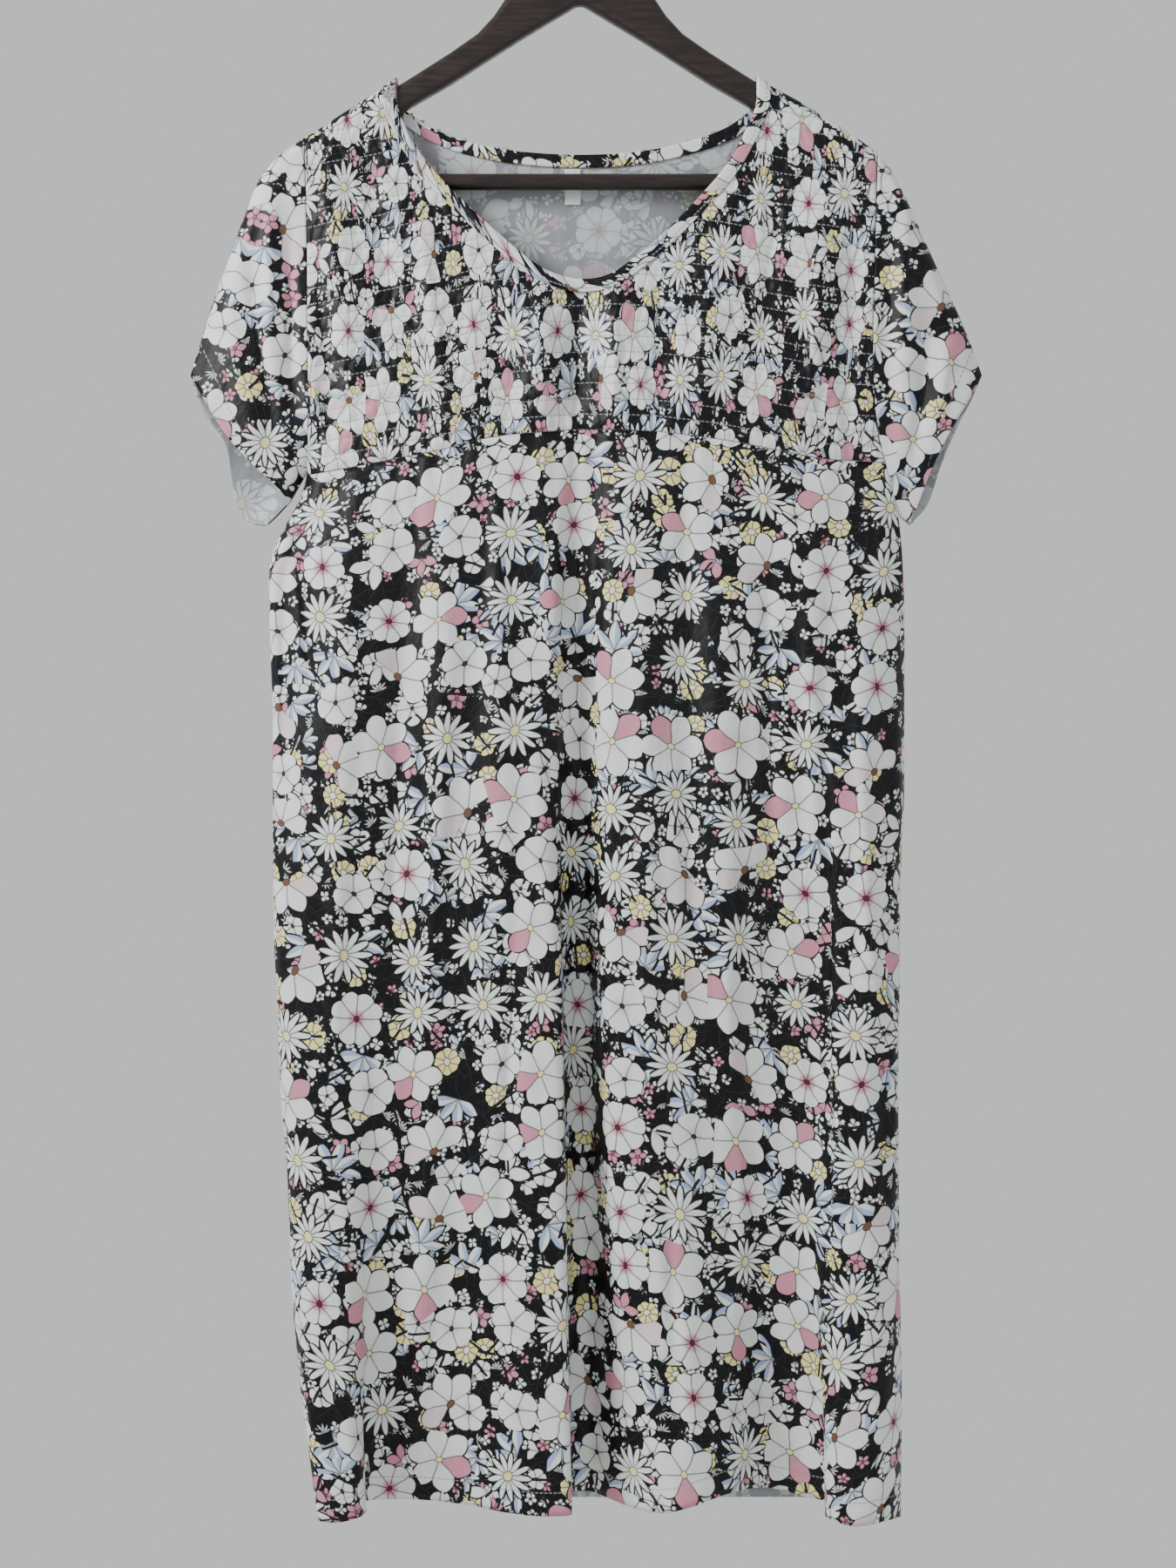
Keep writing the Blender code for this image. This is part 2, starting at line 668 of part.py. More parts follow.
def hanger_arms(where, finish):
    """The board of the hanger, cut in one outline and rounded along its edges."""
    outline = [(x, z) for x, z in ARM_UPPER] + [(x, z) for x, z in ARM_LOWER]
    outline += [(-x, z) for x, z in reversed(ARM_LOWER[:-1])] + [(-x, z) for x, z in reversed(ARM_UPPER)]
    shape = bmesh.new()
    corners = [shape.verts.new(seen(x, 0, z) - Vector((0, BOARD / 2 * MM, 0))) for x, z in outline]
    face = shape.faces.new(corners)
    grown = bmesh.ops.extrude_face_region(shape, geom=[face])
    moved = [item for item in grown["geom"] if isinstance(item, bmesh.types.BMVert)]
    bmesh.ops.translate(shape, verts=moved, vec=(0, BOARD * MM, 0))
    shape.normal_update()
    bmesh.ops.recalc_face_normals(shape, faces=shape.faces)
    thing = add("hanger_arms", shape, where, finish)
    soft = thing.modifiers.new("rounded", "BEVEL")
    soft.width = BOARD_ROUND * MM
    soft.segments = 3
    soft.limit_method = "ANGLE"
    soft.angle_limit = math.radians(60)
    return thing


def hanger_bar(where, finish):
    """The trouser bar between the two ends."""
    shape = bmesh.new()
    left, right = seen(-NIB_INSIDE, 0, BAR_HEIGHT), seen(NIB_INSIDE, 0, BAR_HEIGHT)
    middle = (left + right) / 2
    length = (right - left).length - 2 * SEAM_GAP * MM
    radius = BAR_RADIUS * MM
    bmesh.ops.create_cone(
        shape, cap_ends=True, segments=BAR_SIDES, radius1=radius, radius2=radius, depth=length
    )
    for vert in shape.verts:
        x, y, z = vert.co
        vert.co = middle + Vector((z, -y, x))
    return add("hanger_bar", shape, where, finish)


def hanger_hook(where, finish):
    """The wire hook: a shank, a bend and an arc that ends in a ball."""
    radius = HOOK_INSIDE + WIRE_RADIUS
    foot = seen(0, 0, HANGER_TOP).z / MM + SEAM_GAP
    path = [(0, foot, 1), (0, -52, 1), (0.6, -47.5, 1), (3, -43, 1), (6.4, -39.8, 1)]
    for degrees in range(-60, 196, 15):
        swing = math.radians(degrees)
        path.append((radius * math.cos(swing), -HOOK_INSIDE + radius * math.sin(swing), 1))
    for degrees, size in ((199, 1.35), (204, 1.6), (209, 1.35), (212, 0.7)):
        swing = math.radians(degrees)
        path.append((radius * math.cos(swing), -HOOK_INSIDE + radius * math.sin(swing), size))
    wire = bpy.data.curves.new("hanger_hook", "CURVE")
    wire.dimensions = "3D"
    wire.bevel_depth = WIRE_RADIUS * MM
    wire.bevel_resolution = 2
    wire.use_fill_caps = True
    line = wire.splines.new("POLY")
    line.points.add(len(path) - 1)
    for point, (x, z, size) in zip(line.points, path):
        point.co = (x * MM, 0, z * MM, 1)
        point.radius = size
    thing = bpy.data.objects.new("hanger_hook", wire)
    where.objects.link(thing)
    wire.materials.append(finish)
    return thing


def label_point(u, v):
    """The bare size label inside the back neck."""
    x = LABEL_LEFT + LABEL_WIDTH * u
    z = LABEL_TOP - LABEL_HEIGHT * v
    return seen(x, back_y(x, z) - WALL / 2 - LABEL_WALL / 2, z)


def main():
    """Builds every piece."""
    clear_scene()
    pieces = collection("casual dress")
    tools = collection("cutters")
    tools.hide_render = True
    print_cloth = {
        name: material(name + " jersey", (0.55, 0.55, 0.56), 0.85)
        for name in ("front_yoke", "front_skirt", "back", "sleeve_left", "sleeve_right", "neck_binding")
    }
    wood = (0.023, 0.011, 0.009)

    clear = BINDING_WIDTH + SEAM_GAP + BINDING_WALL / 2
    front_edge = neck_outer(along(NECK_FRONT, NECK_FRONT_STEPS), clear)
    back_edge = neck_outer(along(NECK_BACK, NECK_BACK_STEPS), clear)
    front_outline = [(front_edge[0][0], CUTTER_TOP), *front_edge, (front_edge[-1][0], CUTTER_TOP)]
    back_outline = [(back_edge[0][0], CUTTER_TOP), *back_edge, (back_edge[-1][0], CUTTER_TOP)]
    neck_front = prism("front_neck_cutter", front_outline, tools)
    neck_back = prism("back_neck_cutter", back_outline, tools)
    line = [(x, z - OVER_RISE - SIDE_GAP) for x, z in SHOULDER]
    above = [(-240, -214), *line, (250, -222), (250, CUTTER_TOP), (-240, CUTTER_TOP)]
    shoulders = prism("shoulder_cutter", above, tools)

    yoke = shirred("front_yoke", pieces, print_cloth["front_yoke"])
    cut(yoke, shoulders)
    cut(yoke, neck_front)
    cloth("front_skirt", SKIRT_COLUMNS, SKIRT_ROWS, skirt_point, pieces, print_cloth["front_skirt"])
    back = cloth("back", BACK_COLUMNS, BACK_ROWS, back_point, pieces, print_cloth["back"])
    cut(back, neck_back)
    for name, side in (("sleeve_left", -1), ("sleeve_right", 1)):
        cloth(
            name, SLEEVE_ROUND, SLEEVE_ROWS, lambda u, v, s=side: sleeve_point(s, u, v),
            pieces, print_cloth[name], closed=True,
        )
    cloth(
        "neck_binding", NECK_LOOP, 2, binding_point, pieces, print_cloth["neck_binding"],
        wall=BINDING_WALL, closed=True,
    )
    tape = material("white satin tape", (0.8, 0.8, 0.8), 0.5)
    cloth("size_label", 2, 4, label_point, pieces, tape, wall=LABEL_WALL)
    hanger_arms(pieces, material("dark stained wood", wood, 0.4))
    hanger_bar(pieces, material("dark stained dowel", wood, 0.4))
    hanger_hook(pieces, material("polished steel wire", (0.6, 0.6, 0.6), 0.25, 1.0))


main()
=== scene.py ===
"""The looks of a plus-size casual dress in printed jersey, hanging on a dark wooden hanger.

Metres in the scene, millimetres in the tables. +Z is up, -Y is the wearer's front, +X is the viewer's right.
"""

import logging
import math
from bisect import bisect_right
from dataclasses import dataclass, field
from enum import Enum
from functools import cached_property
from typing import Any, Callable, Sequence

import bmesh
import bpy
import numpy as np
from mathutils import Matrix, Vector


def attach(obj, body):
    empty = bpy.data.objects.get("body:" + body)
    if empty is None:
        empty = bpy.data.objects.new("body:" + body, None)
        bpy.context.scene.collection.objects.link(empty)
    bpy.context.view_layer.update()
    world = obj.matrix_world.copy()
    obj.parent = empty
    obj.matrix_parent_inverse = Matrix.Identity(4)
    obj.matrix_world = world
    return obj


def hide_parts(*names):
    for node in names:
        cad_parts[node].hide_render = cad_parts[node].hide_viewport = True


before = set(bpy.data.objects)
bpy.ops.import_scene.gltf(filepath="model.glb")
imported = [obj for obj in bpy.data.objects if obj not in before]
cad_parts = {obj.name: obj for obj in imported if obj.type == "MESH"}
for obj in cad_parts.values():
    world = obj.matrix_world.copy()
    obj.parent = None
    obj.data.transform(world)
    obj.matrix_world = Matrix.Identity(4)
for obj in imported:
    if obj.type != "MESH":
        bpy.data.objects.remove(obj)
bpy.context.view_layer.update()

log = logging.getLogger("dress")

MM = 0.001
Row = tuple[float, ...]
Table = Sequence[Row]

# Sizes shared with the solids, in millimetres.
WALL = 1.2
SEAM_GAP = 0.3
BINDING_WIDTH = 9.0
SHIRR_PITCH = 11.3
OVER_HALF = 7.5
OVER_RISE = 8.6
CREASE_DEPTH = 1.9
PLANE = -30.0
EYE_AWAY = 1350.0
EYE_BLEND = 200.0
EYE_X = 5.8
EYE_Z = -668.3
ARMS_BOTTOM = -225.0
SIDE_ROUND = 16.0
LEFT_SIDE_Y = -1.0
RIGHT_SIDE_Y = -5.0
LEFT_UNDERARM = -440.0
RIGHT_UNDERARM = -470.0
LEFT_TOP_X = -203.0
RIGHT_TOP_X = 219.0

# Columns: x, z of the upper line of the cloth over the hanger.
SHOULDER = (
    (-213, -196.5), (-194, -185), (-172, -170.5), (-146, -154.5), (-120, -140), (120, -140),
    (141, -152.5), (170, -168.5), (203, -190), (222, -203.5),
)
# Columns: x, z of the inner edge of the neck binding at the front.
NECK_FRONT = (
    (-136, -164), (-134, -174), (-121, -200), (-101, -225), (-70, -255), (-35, -285), (-14, -295),
    (6, -297.5), (26, -292), (55, -270), (83, -242), (109, -212), (127, -178), (131, -164),
)
# Columns: x, z of the inner edge of the neck binding at the back.
NECK_BACK = (
    (-136, -164), (-126, -171), (-108, -182), (-83, -191), (-45, -198), (0, -200.5), (45, -198),
    (83, -190), (108, -181), (123, -171), (131, -164),
)
# Columns: x, z of the seam under the yoke.
BUST_SEAM = (
    (-203, -440), (-170, -434), (-139, -428), (-103, -421), (-62, -411), (-17, -407), (3, -406), (48, -407),
    (88, -411), (120, -416), (150, -422), (185, -428), (226, -430.5),
)
# Columns: z, x of the left edge of the body, down the armhole and then down the side.
LEFT_EDGE = (
    (-1212, -193), (-1184, -197), (-1120, -206), (-1041, -213), (-959, -216), (-897, -221), (-835, -223.5),
    (-774, -226), (-696, -227), (-624, -227), (-564, -229), (-520, -230), (-500, -228), (-478, -218),
    (-459, -208), (-440, -202), (-380, -201), (-281, -201), (-180, -203),
)
# Columns: z, x of the right edge of the body, down the armhole and then down the side.
RIGHT_EDGE = (
    (-1212, 237), (-1120, 237.5), (-1020, 236), (-897, 235), (-815, 236), (-733, 237), (-668, 239), (-540, 239),
    (-500, 238), (-483, 236.5), (-470, 235), (-451, 231), (-430, 226), (-409, 221), (-388, 218), (-346, 216),
    (-270, 217), (-180, 219),
)
# Columns: z, y of the side seams, left and right.
LEFT_SEAM_DEPTH = ((-1212, -6), (-800, -4), (-560, -2), (-440, LEFT_SIDE_Y))
RIGHT_SEAM_DEPTH = ((-1212, -6), (-800, -5), (-470, RIGHT_SIDE_Y))
# Columns: x, y of the front along the bust seam.
BUST_DEPTH = (
    (-202, -15), (-170, -19), (-126, -23), (-70, -26), (-30, -26.5), (-9, -22), (0, -21), (9, -22),
    (28, -27.5), (70, -27.5), (116, -25), (170, -20), (217, -11),
)
# Columns: z, y of the back in the middle.
BACK_DEPTH = (
    (-1240, 33), (-1000, 29), (-800, 25), (-560, 20), (-411, 15), (-300, 13), (-225, 11), (-205, 8.5), (-180, 7.5), (-140, 7.5),
)
# A row for each fold of the back. Columns: x at the hem, width, depth at the hem, z where it starts.
BACK_FOLDS = (
    (-150, 26, 11, -620), (-92, 20, -8, -760), (-36, 24, 10, -680), (30, 22, -9, -560), (88, 26, 12, -700),
    (140, 22, -8, -820), (190, 22, 9, -640),
)
# A row for each bend of the lower front. Columns: x at the seam, x and y at z -560, x and y at z -800, x, y and z at the hem.
UPPER_Z = -560.0
MIDDLE_Z = -800.0
FRONT = (
    (-202, -229, -2, -226, -4, -193, -6, -1211),
    (-201.5, -230.5, -9, -228, -14, -195, -21, -1211),
    (-198, -227, -15, -226, -24, -199, -42, -1212),
    (-191, -220, -14.5, -219, -31, -198, -60, -1214),
    (-181, -213, -20, -205, -34, -183, -66, -1215),
    (-166, -199, -27, -186, -35, -167, -62, -1211),
    (-148, -180, -29, -166, -34, -161, -48, -1206),
    (-126, -155, -30, -146, -32, -162, -31, -1200),
    (-104, -128, -30, -124, -31, -151, -21, -1198),
    (-84, -98, -31, -98, -32, -118, -19, -1198),
    (-64, -72, -32, -76, -35, -82, -22, -1202),
    (-46, -48, -33, -54, -39, -58, -36, -1207),
    (-32, -30, -34, -33, -42, -34, -42, -1210),
    (-22, -20, -34, -20, -42.5, -10, -44, -1210),
    (-15, -16, -29, -15, -36, -6.5, -37, -1207),
    (-8, -12, -21, -13, -20, -9, -14, -1196),
    (0, -2, -17, -5, -7, -4, 2, -1192),
    (8, 8, -19, 6, -7, 9, 5, -1192),
    (15, 14, -27, 13, -22, 24, -8, -1198),
    (23, 21, -34, 19, -37, 42, -24, -1205),
    (40, 36, -36, 34, -42, 62, -40, -1208),
    (62, 62, -35, 62, -42, 84, -45, -1203),
    (88, 92, -34, 92, -38, 108, -33, -1194),
    (116, 124, -33, 122, -33, 132, -10, -1189),
    (140, 152, -32, 148, -28, 150, -2, -1191),
    (160, 176, -31, 168, -26, 168, -8, -1196),
    (176, 190, -30.5, 180, -28, 182, -17, -1199),
    (184, 200, -30, 186, -31, 187, -28, -1203),
    (190, 207, -29.5, 188, -37, 182, -46, -1209),
    (197, 214, -28.5, 194, -40, 188, -62, -1214),
    (204, 222, -26, 208, -41, 206, -67, -1218),
    (209, 230, -21.5, 224, -37, 226, -62, -1214),
    (212.5, 236, -14, 235, -27, 236, -44, -1211),
    (219, 238.5, -8, 237, -14, 237.5, -24, -1211),
    (225.5, 238, -5, 236, -5, 234, -6, -1211),
)
# Columns: share of the sleeve from armhole to hem, x, z of its upper fold.
LEFT_FOLD = (
    (0, -203.5, -190.5), (0.15, -221, -202), (0.3, -238, -222), (0.45, -250, -253), (0.62, -261, -282),
    (0.8, -273, -317), (1, -288, -366),
)
RIGHT_FOLD = (
    (0, 219.5, -201.8), (0.12, 229, -213), (0.3, 244, -242), (0.5, 259, -276), (0.7, 275, -311),
    (0.85, 286, -336), (1, 297, -366),
)
# Columns: share round the sleeve hem from its upper fold to the underarm, x, y, z.
LEFT_HEM_FRONT = (
    (0, -288, 0, -366), (0.12, -279, -8, -382), (0.35, -263, -13, -409), (0.6, -240, -14, -434),
    (0.85, -222, -10, -451), (1, -215, 0, -460),
)
LEFT_HEM_BACK = (
    (0, -288, 0, -366), (0.12, -281, 7, -389), (0.35, -262, 13, -419), (0.55, -257, 16, -449),
    (0.75, -249, 16, -472), (0.9, -234, 9, -477), (1, -215, 0, -460),
)
RIGHT_HEM_FRONT = (
    (0, 297, 0, -366), (0.12, 290, -8, -380), (0.35, 277, -13, -402), (0.6, 265, -14, -425),
    (0.8, 256, -11, -446), (1, 244, -5, -477),
)
RIGHT_HEM_BACK = (
    (0, 297, 0, -366), (0.12, 291, 7, -381), (0.35, 279, 12, -405), (0.6, 267, 12, -433),
    (0.8, 257, 7, -462), (1, 244, -5, -477),
)


class Side(Enum):
    """The two sides of the dress, as the viewer sees them."""

    LEFT = -1
    RIGHT = 1


class Smooth:
    """A smooth function through the rows of a table."""

    def __init__(self, rows: Table, column: int = 1) -> None:
        """Prepares slopes at each row.

        Args:
            rows: Rows in rising order of their first column.
            column: The column that the function gives.
        """
        self.keys = [float(row[0]) for row in rows]
        self.values = [float(row[column]) for row in rows]
        spans = [b - a for a, b in zip(self.keys, self.keys[1:])]
        steps = [(b - a) / span for a, b, span in zip(self.values, self.values[1:], spans)]
        inner = [0.0 if a * b <= 0 else 2 * a * b / (a + b) for a, b in zip(steps, steps[1:])]
        self.slopes = [steps[0], *inner, steps[-1]]

    def __call__(self, key: float) -> float:
        """Gives the value at a key, held at the ends."""
        if key <= self.keys[0]:
            return self.values[0]
        if key >= self.keys[-1]:
            return self.values[-1]
        place = bisect_right(self.keys, key) - 1
        span = self.keys[place + 1] - self.keys[place]
        t = (key - self.keys[place]) / span
        t2, t3 = t * t, t * t * t
        return (
            self.values[place] * (2 * t3 - 3 * t2 + 1)
            + self.slopes[place] * span * (t3 - 2 * t2 + t)
            + self.values[place + 1] * (3 * t2 - 2 * t3)
            + self.slopes[place + 1] * span * (t3 - t2)
        )


shoulder = Smooth(SHOULDER)
bust_seam = Smooth(BUST_SEAM)
left_edge = Smooth(LEFT_EDGE)
right_edge = Smooth(RIGHT_EDGE)
left_seam_depth = Smooth(LEFT_SEAM_DEPTH)
right_seam_depth = Smooth(RIGHT_SEAM_DEPTH)
bust_depth = Smooth(BUST_DEPTH)
back_depth = Smooth(BACK_DEPTH)


def ease(t: float) -> float:
    """Soft step from 0 to 1."""
    t = min(1.0, max(0.0, t))
    return t * t * (3 - 2 * t)


def quarter(t: float) -> float:
    """Height of a quarter round at a share of its width."""
    t = min(1.0, max(0.0, t))
    return math.sqrt(1 - (1 - t) ** 2)


def seen(x: float, y: float, z: float) -> Vector:
    """Places a point of the tables in the scene.

    Args:
        x: Across, on the plane that the tables are sized on.
        y: Real depth.
        z: Height, on the same plane.

    Returns:
        The point in metres that the eye sees there.
    """
    grow = (EYE_AWAY + y * ease((ARMS_BOTTOM - z) / EYE_BLEND) - PLANE) / EYE_AWAY
    return Vector(((EYE_X + (x - EYE_X) * grow) * MM, y * MM, (EYE_Z + (z - EYE_Z) * grow) * MM))


def along(points: Table, count: int) -> list[Row]:
    """Evenly spaced points on a smooth curve.

    Args:
        points: The points that the curve passes through.
        count: How many equal steps it is cut into.

    Returns:
        count + 1 points.
    """
    fine: list[Row] = []
    last = len(points) - 1
    for i in range(last):
        p0, p1, p2, p3 = points[max(0, i - 1)], points[i], points[i + 1], points[min(last, i + 2)]
        for step in range(8):
            t = step / 8
            fine.append(tuple(
                0.5 * (2 * b + (c - a) * t + (2 * a - 5 * b + 4 * c - d) * t * t + (3 * b - a - 3 * c + d) * t ** 3)
                for a, b, c, d in zip(p0, p1, p2, p3)
            ))
    fine.append(tuple(points[last]))
    lengths = [0.0]
    for a, b in zip(fine, fine[1:]):
        lengths.append(lengths[-1] + math.dist(a, b))
    found: list[Row] = []
    place = 0
    for i in range(count + 1):
        wanted = lengths[-1] * i / count
        while place < len(lengths) - 2 and lengths[place + 1] < wanted:
            place += 1
        t = (wanted - lengths[place]) / (lengths[place + 1] - lengths[place])
        found.append(tuple(a + (b - a) * t for a, b in zip(fine[place], fine[place + 1])))
    return found


def moved_out(points: Sequence[Row], width: float) -> list[Row]:
    """Points moved out square to a neck edge.

    Args:
        points: Points (x, z) of the edge, from left to right.
        width: How far they go, in millimetres.

    Returns:
        The moved points.
    """
    moved: list[Row] = []
    last = len(points) - 1
    for i, (x, z) in enumerate(points):
        ahead, behind = points[min(last, i + 1)], points[max(0, i - 1)]
        dx, dz = ahead[0] - behind[0], ahead[1] - behind[1]
        if i in (0, last):
            dx, dz = 0.0, -1.0 if i == 0 else 1.0
        size = math.hypot(dx, dz)
        moved.append((x + dz / size * width, z - dx / size * width))
    return moved


@dataclass(frozen=True)
class Crease:
    """A soft ridge or trough in the cloth, drawn between two points."""

    x0: float
    z0: float
    x1: float
    z1: float
    width: float
    rise: float

    def at(self, x: float, z: float) -> float:
        """Gives its height at a point, which fades at both ends.

        Args:
            x: Across, in millimetres.
            z: Height, in millimetres.

        Returns:
            The height in millimetres, outwards.
        """
        dx, dz = self.x1 - self.x0, self.z1 - self.z0
        size = math.hypot(dx, dz)
        t = ((x - self.x0) * dx + (z - self.z0) * dz) / (size * size)
        if t <= -0.1 or t >= 1.1:
            return 0.0
        away = ((x - self.x0) * dz - (z - self.z0) * dx) / size
        if abs(away) > 3 * self.width:
            return 0.0
        bend = 1 - 0.35 * math.sin(5 * t + self.x0)
        return self.rise * math.exp(-((away / (self.width * bend)) ** 2)) * ease((t + 0.1) / 0.45) * ease((1.1 - t) / 0.45)


# Creases of the front: fall folds from the bust seam, drag lines at the arms and soft dents from folding.
FRONT_CREASES = (
    Crease(-96, -440, -112, -900, 13, 3.2), Crease(-128, -470, -142, -840, 9, -2.4), Crease(-62, -430, -60, -760, 10, 2.4),
    Crease(-44, -700, -66, -1180, 8, -2.2), Crease(-172, -470, -184, -900, 10, 2.2), Crease(-104, -860, -128, -1205, 9, 2.6),
    Crease(48, -430, 52, -900, 11, 2.2), Crease(78, -450, 84, -820, 9, -2.4), Crease(104, -440, 112, -980, 12, 3.0),
    Crease(138, -460, 142, -860, 9, -2.2), Crease(168, -450, 176, -760, 10, 2.6), Crease(206, -520, 216, -900, 8, 2.0),
    Crease(222, -800, 226, -990, 5, -2.6), Crease(214, -770, 232, -905, 6, 2.0), Crease(62, -900, 74, -1190, 8, -2.0),
    Crease(120, -900, 116, -1180, 9, 2.2), Crease(-20, -560, 24, -600, 9, -0.9), Crease(30, -720, 66, -742, 9, 0.9),
    Crease(-70, -1010, -24, -1032, 8, 0.9), Crease(-190, -1080, -176, -1180, 7, -1.8), Crease(96, -640, 132, -652, 9, -0.8),
    Crease(-160, -560, -120, -572, 10, 0.8), Crease(40, -1080, 96, -1090, 9, 0.8), Crease(-208, -470, -196, -640, 6, -2.2),
)
# Creases of the yoke: drag lines from the shoulders and armholes, and the dip below the V.
YOKE_CREASES = (
    Crease(-186, -205, -168, -380, 10, 2.2), Crease(-158, -190, -138, -330, 9, -1.6), Crease(-120, -250, -96, -410, 10, 1.8),
    Crease(-60, -300, -52, -408, 10, -1.8), Crease(-30, -305, -24, -408, 8, 2.2), Crease(-2, -302, -2, -408, 9, -3.2),
    Crease(24, -302, 26, -408, 8, 2.0), Crease(60, -290, 56, -408, 10, -1.6), Crease(104, -240, 88, -408, 10, 1.8),
    Crease(150, -190, 128, -400, 10, -1.6), Crease(186, -205, 168, -400, 10, 2.2), Crease(204, -250, 196, -420, 7, -1.8),
    Crease(-192, -300, -184, -430, 7, -1.8),
)
# Creases of the back, which hangs from the shoulder blades in a few long folds.
BACK_CREASES = (
    Crease(-150, -200, -128, -520, 14, 2.4), Crease(-90, -240, -84, -700, 13, -2.2), Crease(-30, -230, -26, -640, 14, 2.2),
    Crease(36, -230, 32, -620, 13, -2.2), Crease(96, -230, 84, -660, 14, 2.4), Crease(150, -200, 138, -560, 12, -2.0),
    Crease(-120, -620, -132, -1180, 11, -2.6), Crease(60, -640, 66, -1180, 12, 2.6), Crease(-10, -760, -4, -1190, 10, 2.2),
    Crease(120, -700, 116, -1160, 11, -2.2), Crease(-180, -500, -190, -900, 9, 2.2), Crease(196, -500, 206, -1000, 9, -2.2),
    Crease(-60, -900, -30, -912, 9, 0.8), Crease(70, -560, 104, -548, 9, -0.8),
)
# Creases of the sleeves: drag from the shoulder end and gathers towards the underarm.
SLEEVE_CREASES = (
    Crease(-226, -215, -232, -400, 8, 2.0), Crease(-246, -260, -226, -430, 7, -1.8), Crease(-262, -310, -240, -428, 8, 1.8),
    Crease(-214, -250, -212, -420, 6, -1.6), Crease(240, -235, 238, -430, 8, 2.0), Crease(262, -300, 246, -440, 7, -1.8),
    Crease(228, -260, 230, -420, 6, -1.6), Crease(276, -330, 258, -430, 7, 1.6),
)


def creased(creases: Sequence[Crease], x: float, z: float) -> float:
    """Sum of the creases at a point, in millimetres outwards."""
    return CREASE_DEPTH * sum(crease.at(x, z) for crease in creases)


def edge_share(z: float, underarm: float) -> float:
    """How far the armhole stands open at a height: 1 above, 0 at the underarm."""
    return quarter((z - underarm) / 60.0)


def rounded(inner: float, x: float, z: float) -> float:
    """Depth of a panel, brought round to the side seam or armhole.

    Args:
        inner: The panel's own depth.
        x: Across.
        z: Height.

    Returns:
        The depth in millimetres.
    """
    left, right = left_edge(z), right_edge(z)
    near_left = x - left < right - x
    away = x - left if near_left else right - x
    underarm = LEFT_UNDERARM if near_left else RIGHT_UNDERARM
    keep = max(edge_share(z, underarm), quarter(away / SIDE_ROUND))
    middle = left_seam_depth(z) if near_left else right_seam_depth(z)
    return middle + (inner - middle) * keep


def yoke_y(x: float, z: float) -> float:
    """Depth of the front above the bust seam, in millimetres."""
    seam = bust_seam(x)
    share = ease((ARMS_BOTTOM - z) / (ARMS_BOTTOM - seam))
    valley = 2.0 * math.exp(-((x + 3) / 20.0) ** 2) * ease((-290 - z) / 60)
    return rounded(-OVER_HALF + (bust_depth(x) + OVER_HALF) * share, x, z) + valley * (1 - share) * share * 4


def back_y(x: float, z: float) -> float:
    """Depth of the back with its folds, in millimetres."""
    depth = back_depth(z)
    for hem_x, width, fold, starts in BACK_FOLDS:
        depth += fold * ease((starts - z) / (starts + 1210)) * math.exp(-(((x - hem_x) / width) ** 2))
    return rounded(depth, x, z)


def over_arm(x: float, turn: float) -> Row:
    """The cloth across the board.

    Args:
        x: Across.
        turn: Degrees over the board, from -90 at the front to 90 at the back.

    Returns:
        The point (x, y, z) in millimetres.
    """
    swing = math.radians(turn)
    return (x, OVER_HALF * math.sin(swing), shoulder(x) - OVER_RISE * (1 - math.cos(swing)))


